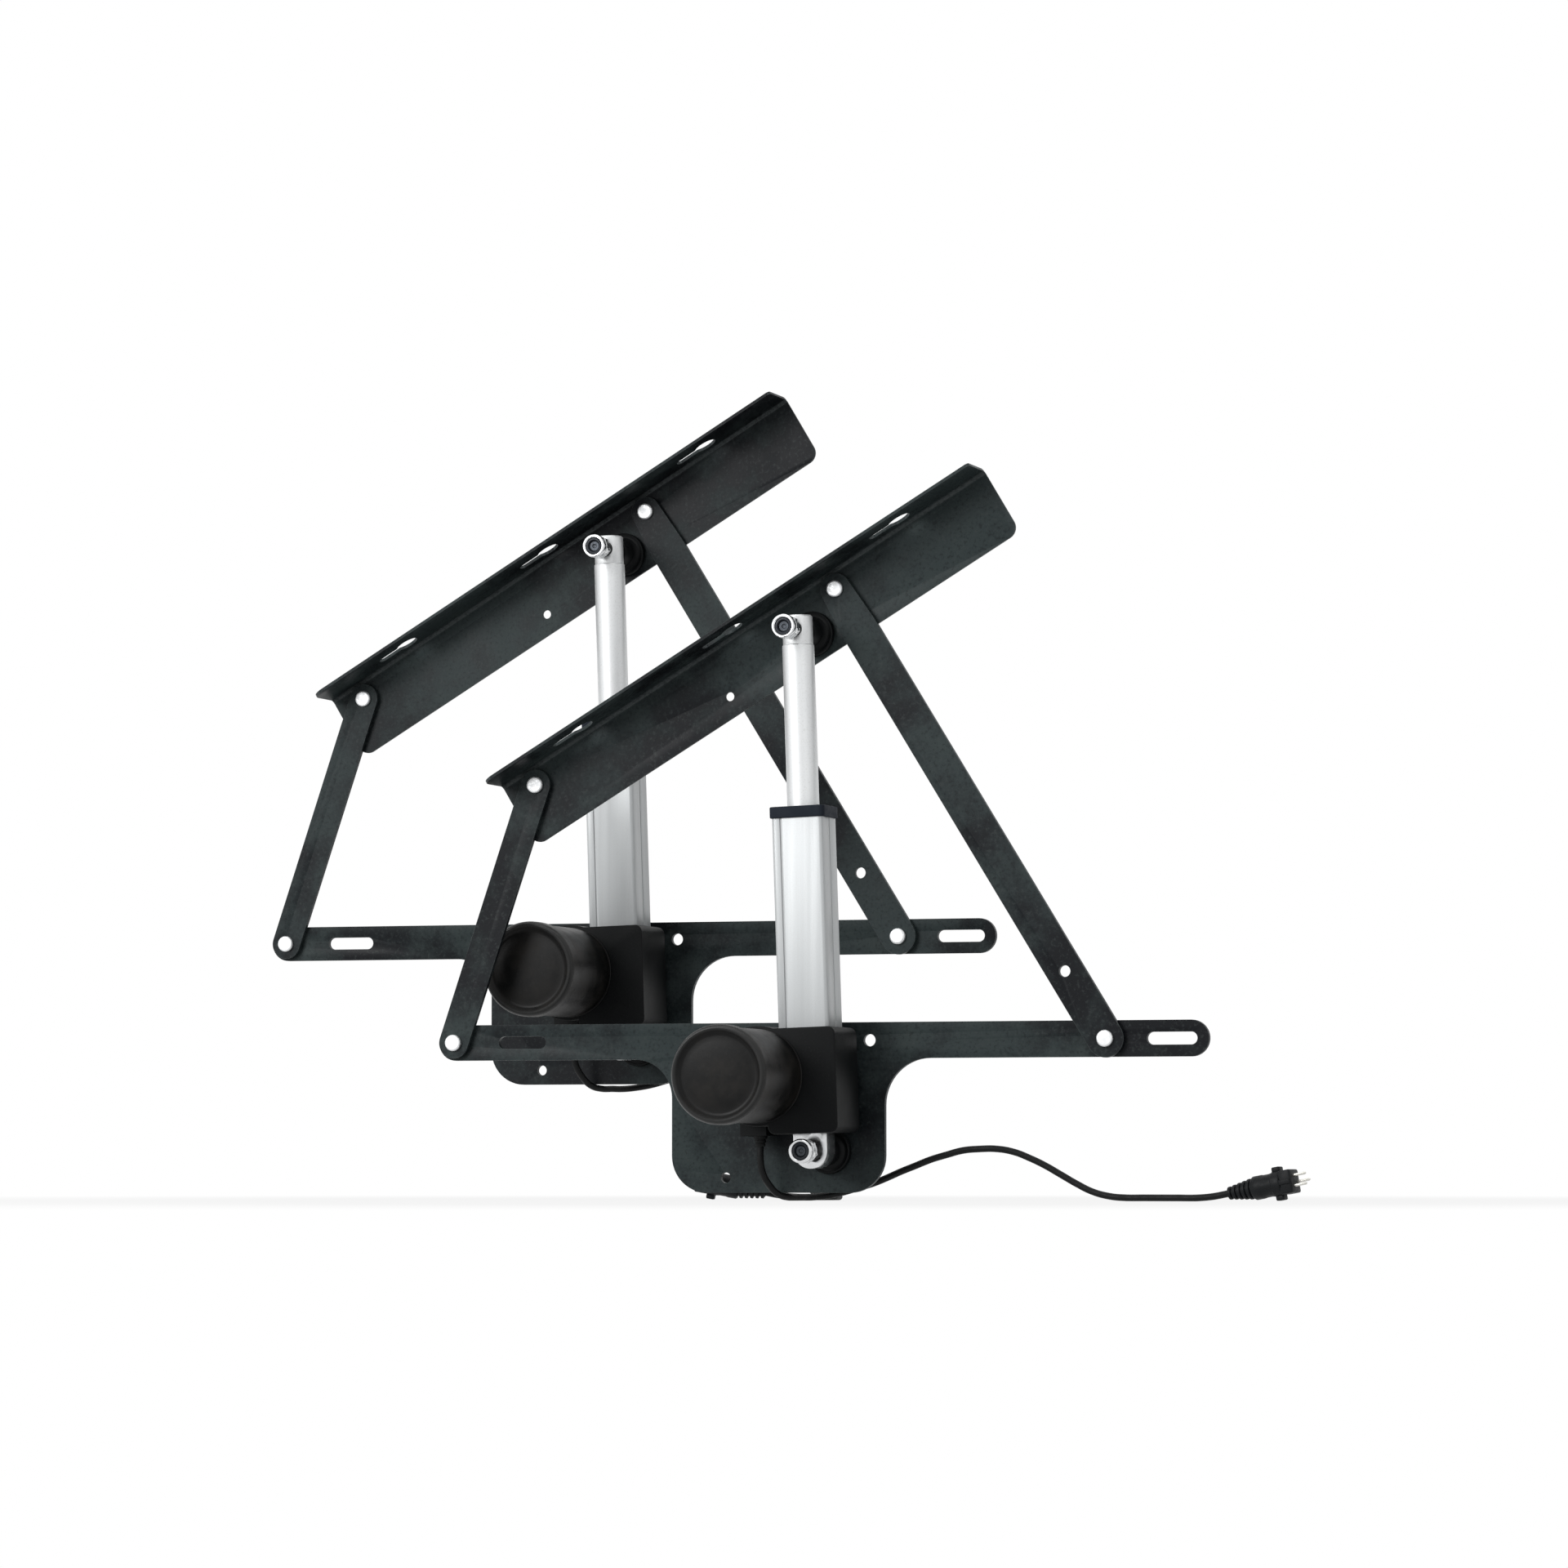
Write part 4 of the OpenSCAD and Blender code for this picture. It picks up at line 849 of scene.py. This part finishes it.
for unit, offset in UNITS:
    low, high = LOWER_PIN + offset / MM, UPPER_PIN + offset / MM
    for piece, body, node in (
        (lock_nut(unit + "_lower_nut", low, 55.0), "base", "lower_lock_nuts"),
        (lock_nut(unit + "_upper_nut", high, 56.0), unit + "_rod", unit + "_upper_lock_nut"),
        (bolt(unit + "_lower_bolt", low, 0.0, 67.0), "base", "lower_pivot_bolts"),
        (bolt(unit + "_upper_bolt", high, 12.3, 68.0), unit + "_rod", unit + "_upper_bolt"),
    ):
        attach(piece, body)
        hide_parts(node)

# Works inside: rolled steel lead screw, bronze drive nut, acetal worm wheel, motor
# rotor with its worm, and the bearing. They only show when the case is opened.


def works_finish(name, low, high, metallic, rough, scale):
    works = Finish(name, {"Metallic": metallic})
    here = works.where()
    works.paint("Base Color", works.mix(works.noise(here, scale), low, high))
    works.paint("Roughness", works.between(works.noise(here, 2 * scale), 0.3, 0.7, rough, rough + 0.12))
    works.bump(works.noise(here, 4 * scale, 2.0), 0.00004, 0.5)
    return works.material


screw_steel = works_finish("screw_steel", (0.42, 0.42, 0.42), (0.60, 0.60, 0.59), 1.0, 0.28, 300.0)
nut_bronze = works_finish("nut_bronze", (0.45, 0.28, 0.11), (0.66, 0.44, 0.20), 1.0, 0.30, 260.0)
wheel_acetal = works_finish("wheel_acetal", (0.70, 0.68, 0.60), (0.82, 0.80, 0.72), 0.0, 0.40, 120.0)
for unit, _ in UNITS:
    for node, material in (
        ("motor_worm", screw_steel),
        ("lead_screw", screw_steel),
        ("screw_bearing", screw_steel),
        ("drive_nut", nut_bronze),
        ("worm_wheel", wheel_acetal),
    ):
        dress(frame["nodes"][unit + "_" + node], material)

# Studio: a pale floor under the lifts and a white surround, with three soft lamps.
FLOOR = cad_box[0][2]
bpy.ops.object.select_all(action="DESELECT")
bpy.ops.mesh.primitive_plane_add(size=16.0, location=(0, 0, FLOOR))
floor = begin("floor", (0, 0, FLOOR))


def seen_directly(finish):
    """1 for rays that look at the background, 0 for those by which it lights the lifts."""
    camera_ray = finish.node("LightPath", output="Is Camera Ray")
    glossy_ray = finish.node("LightPath", output="Is Glossy Ray")
    passing_ray = finish.node("LightPath", output="Is Transmission Ray")
    return camera_ray + glossy_ray + passing_ray


def floor_finish():
    pale = Finish(
        "pale_floor",
        {"Base Color": (0.42, 0.42, 0.42, 1.0), "Roughness": 0.9, "Specular IOR Level": 0.1},
    )
    place = pale.node("TexCoord", output="Object")
    away = pale.node("VectorMath", {"operation": "LENGTH"}, {0: place}, output=1)
    glow = pale.node("Emission", None, {"Color": (1.0, 1.0, 1.0, 1.0), "Strength": 1.0})
    lit = Value(pale, pale.shader.outputs[0])
    share = seen_directly(pale) * pale.between(away, 0.35, 1.1, 0.87, 1.0)
    both = pale.node("MixShader", None, {0: share, 1: lit, 2: glow})
    pale.tree.links.new(both.socket, pale.tree.nodes["Material Output"].inputs["Surface"])
    return pale.material


class Surround(Finish):
    """The white world round the scene, built with the same nodes as a finish."""

    def __init__(self, world):
        world.use_nodes = True
        self.tree = world.node_tree
        self.shader = self.tree.nodes["Background"]
        self.shader.inputs["Color"].default_value = (1.0, 1.0, 1.0, 1.0)


dress(floor, floor_finish())
bpy.context.scene.world = bpy.data.worlds.new("studio")
surround = Surround(bpy.context.scene.world)
surround.paint("Strength", surround.between(seen_directly(surround), 0.0, 1.0, 0.26, 1.0))
LAMPS_LOOK_AT = Vector((-0.04, 0.0, 0.1))


def lamp(name, at, size, power):
    light = bpy.data.lights.new(name, "AREA")
    light.shape, light.size, light.energy = "SQUARE", size, power
    holder = bpy.data.objects.new(name, light)
    bpy.context.scene.collection.objects.link(holder)
    holder.location = at
    holder.rotation_euler = (LAMPS_LOOK_AT - Vector(at)).to_track_quat("-Z", "Y").to_euler()


lamp("key_lamp", (-1.5, -2.5, 1.2), 1.5, 45.0)
lamp("fill_lamp", (2.3, -1.9, 0.7), 1.6, 4.0)
lamp("top_lamp", (0.0, 0.2, 2.4), 1.8, 12.0)

bpy.context.scene.view_settings.view_transform = "Standard"
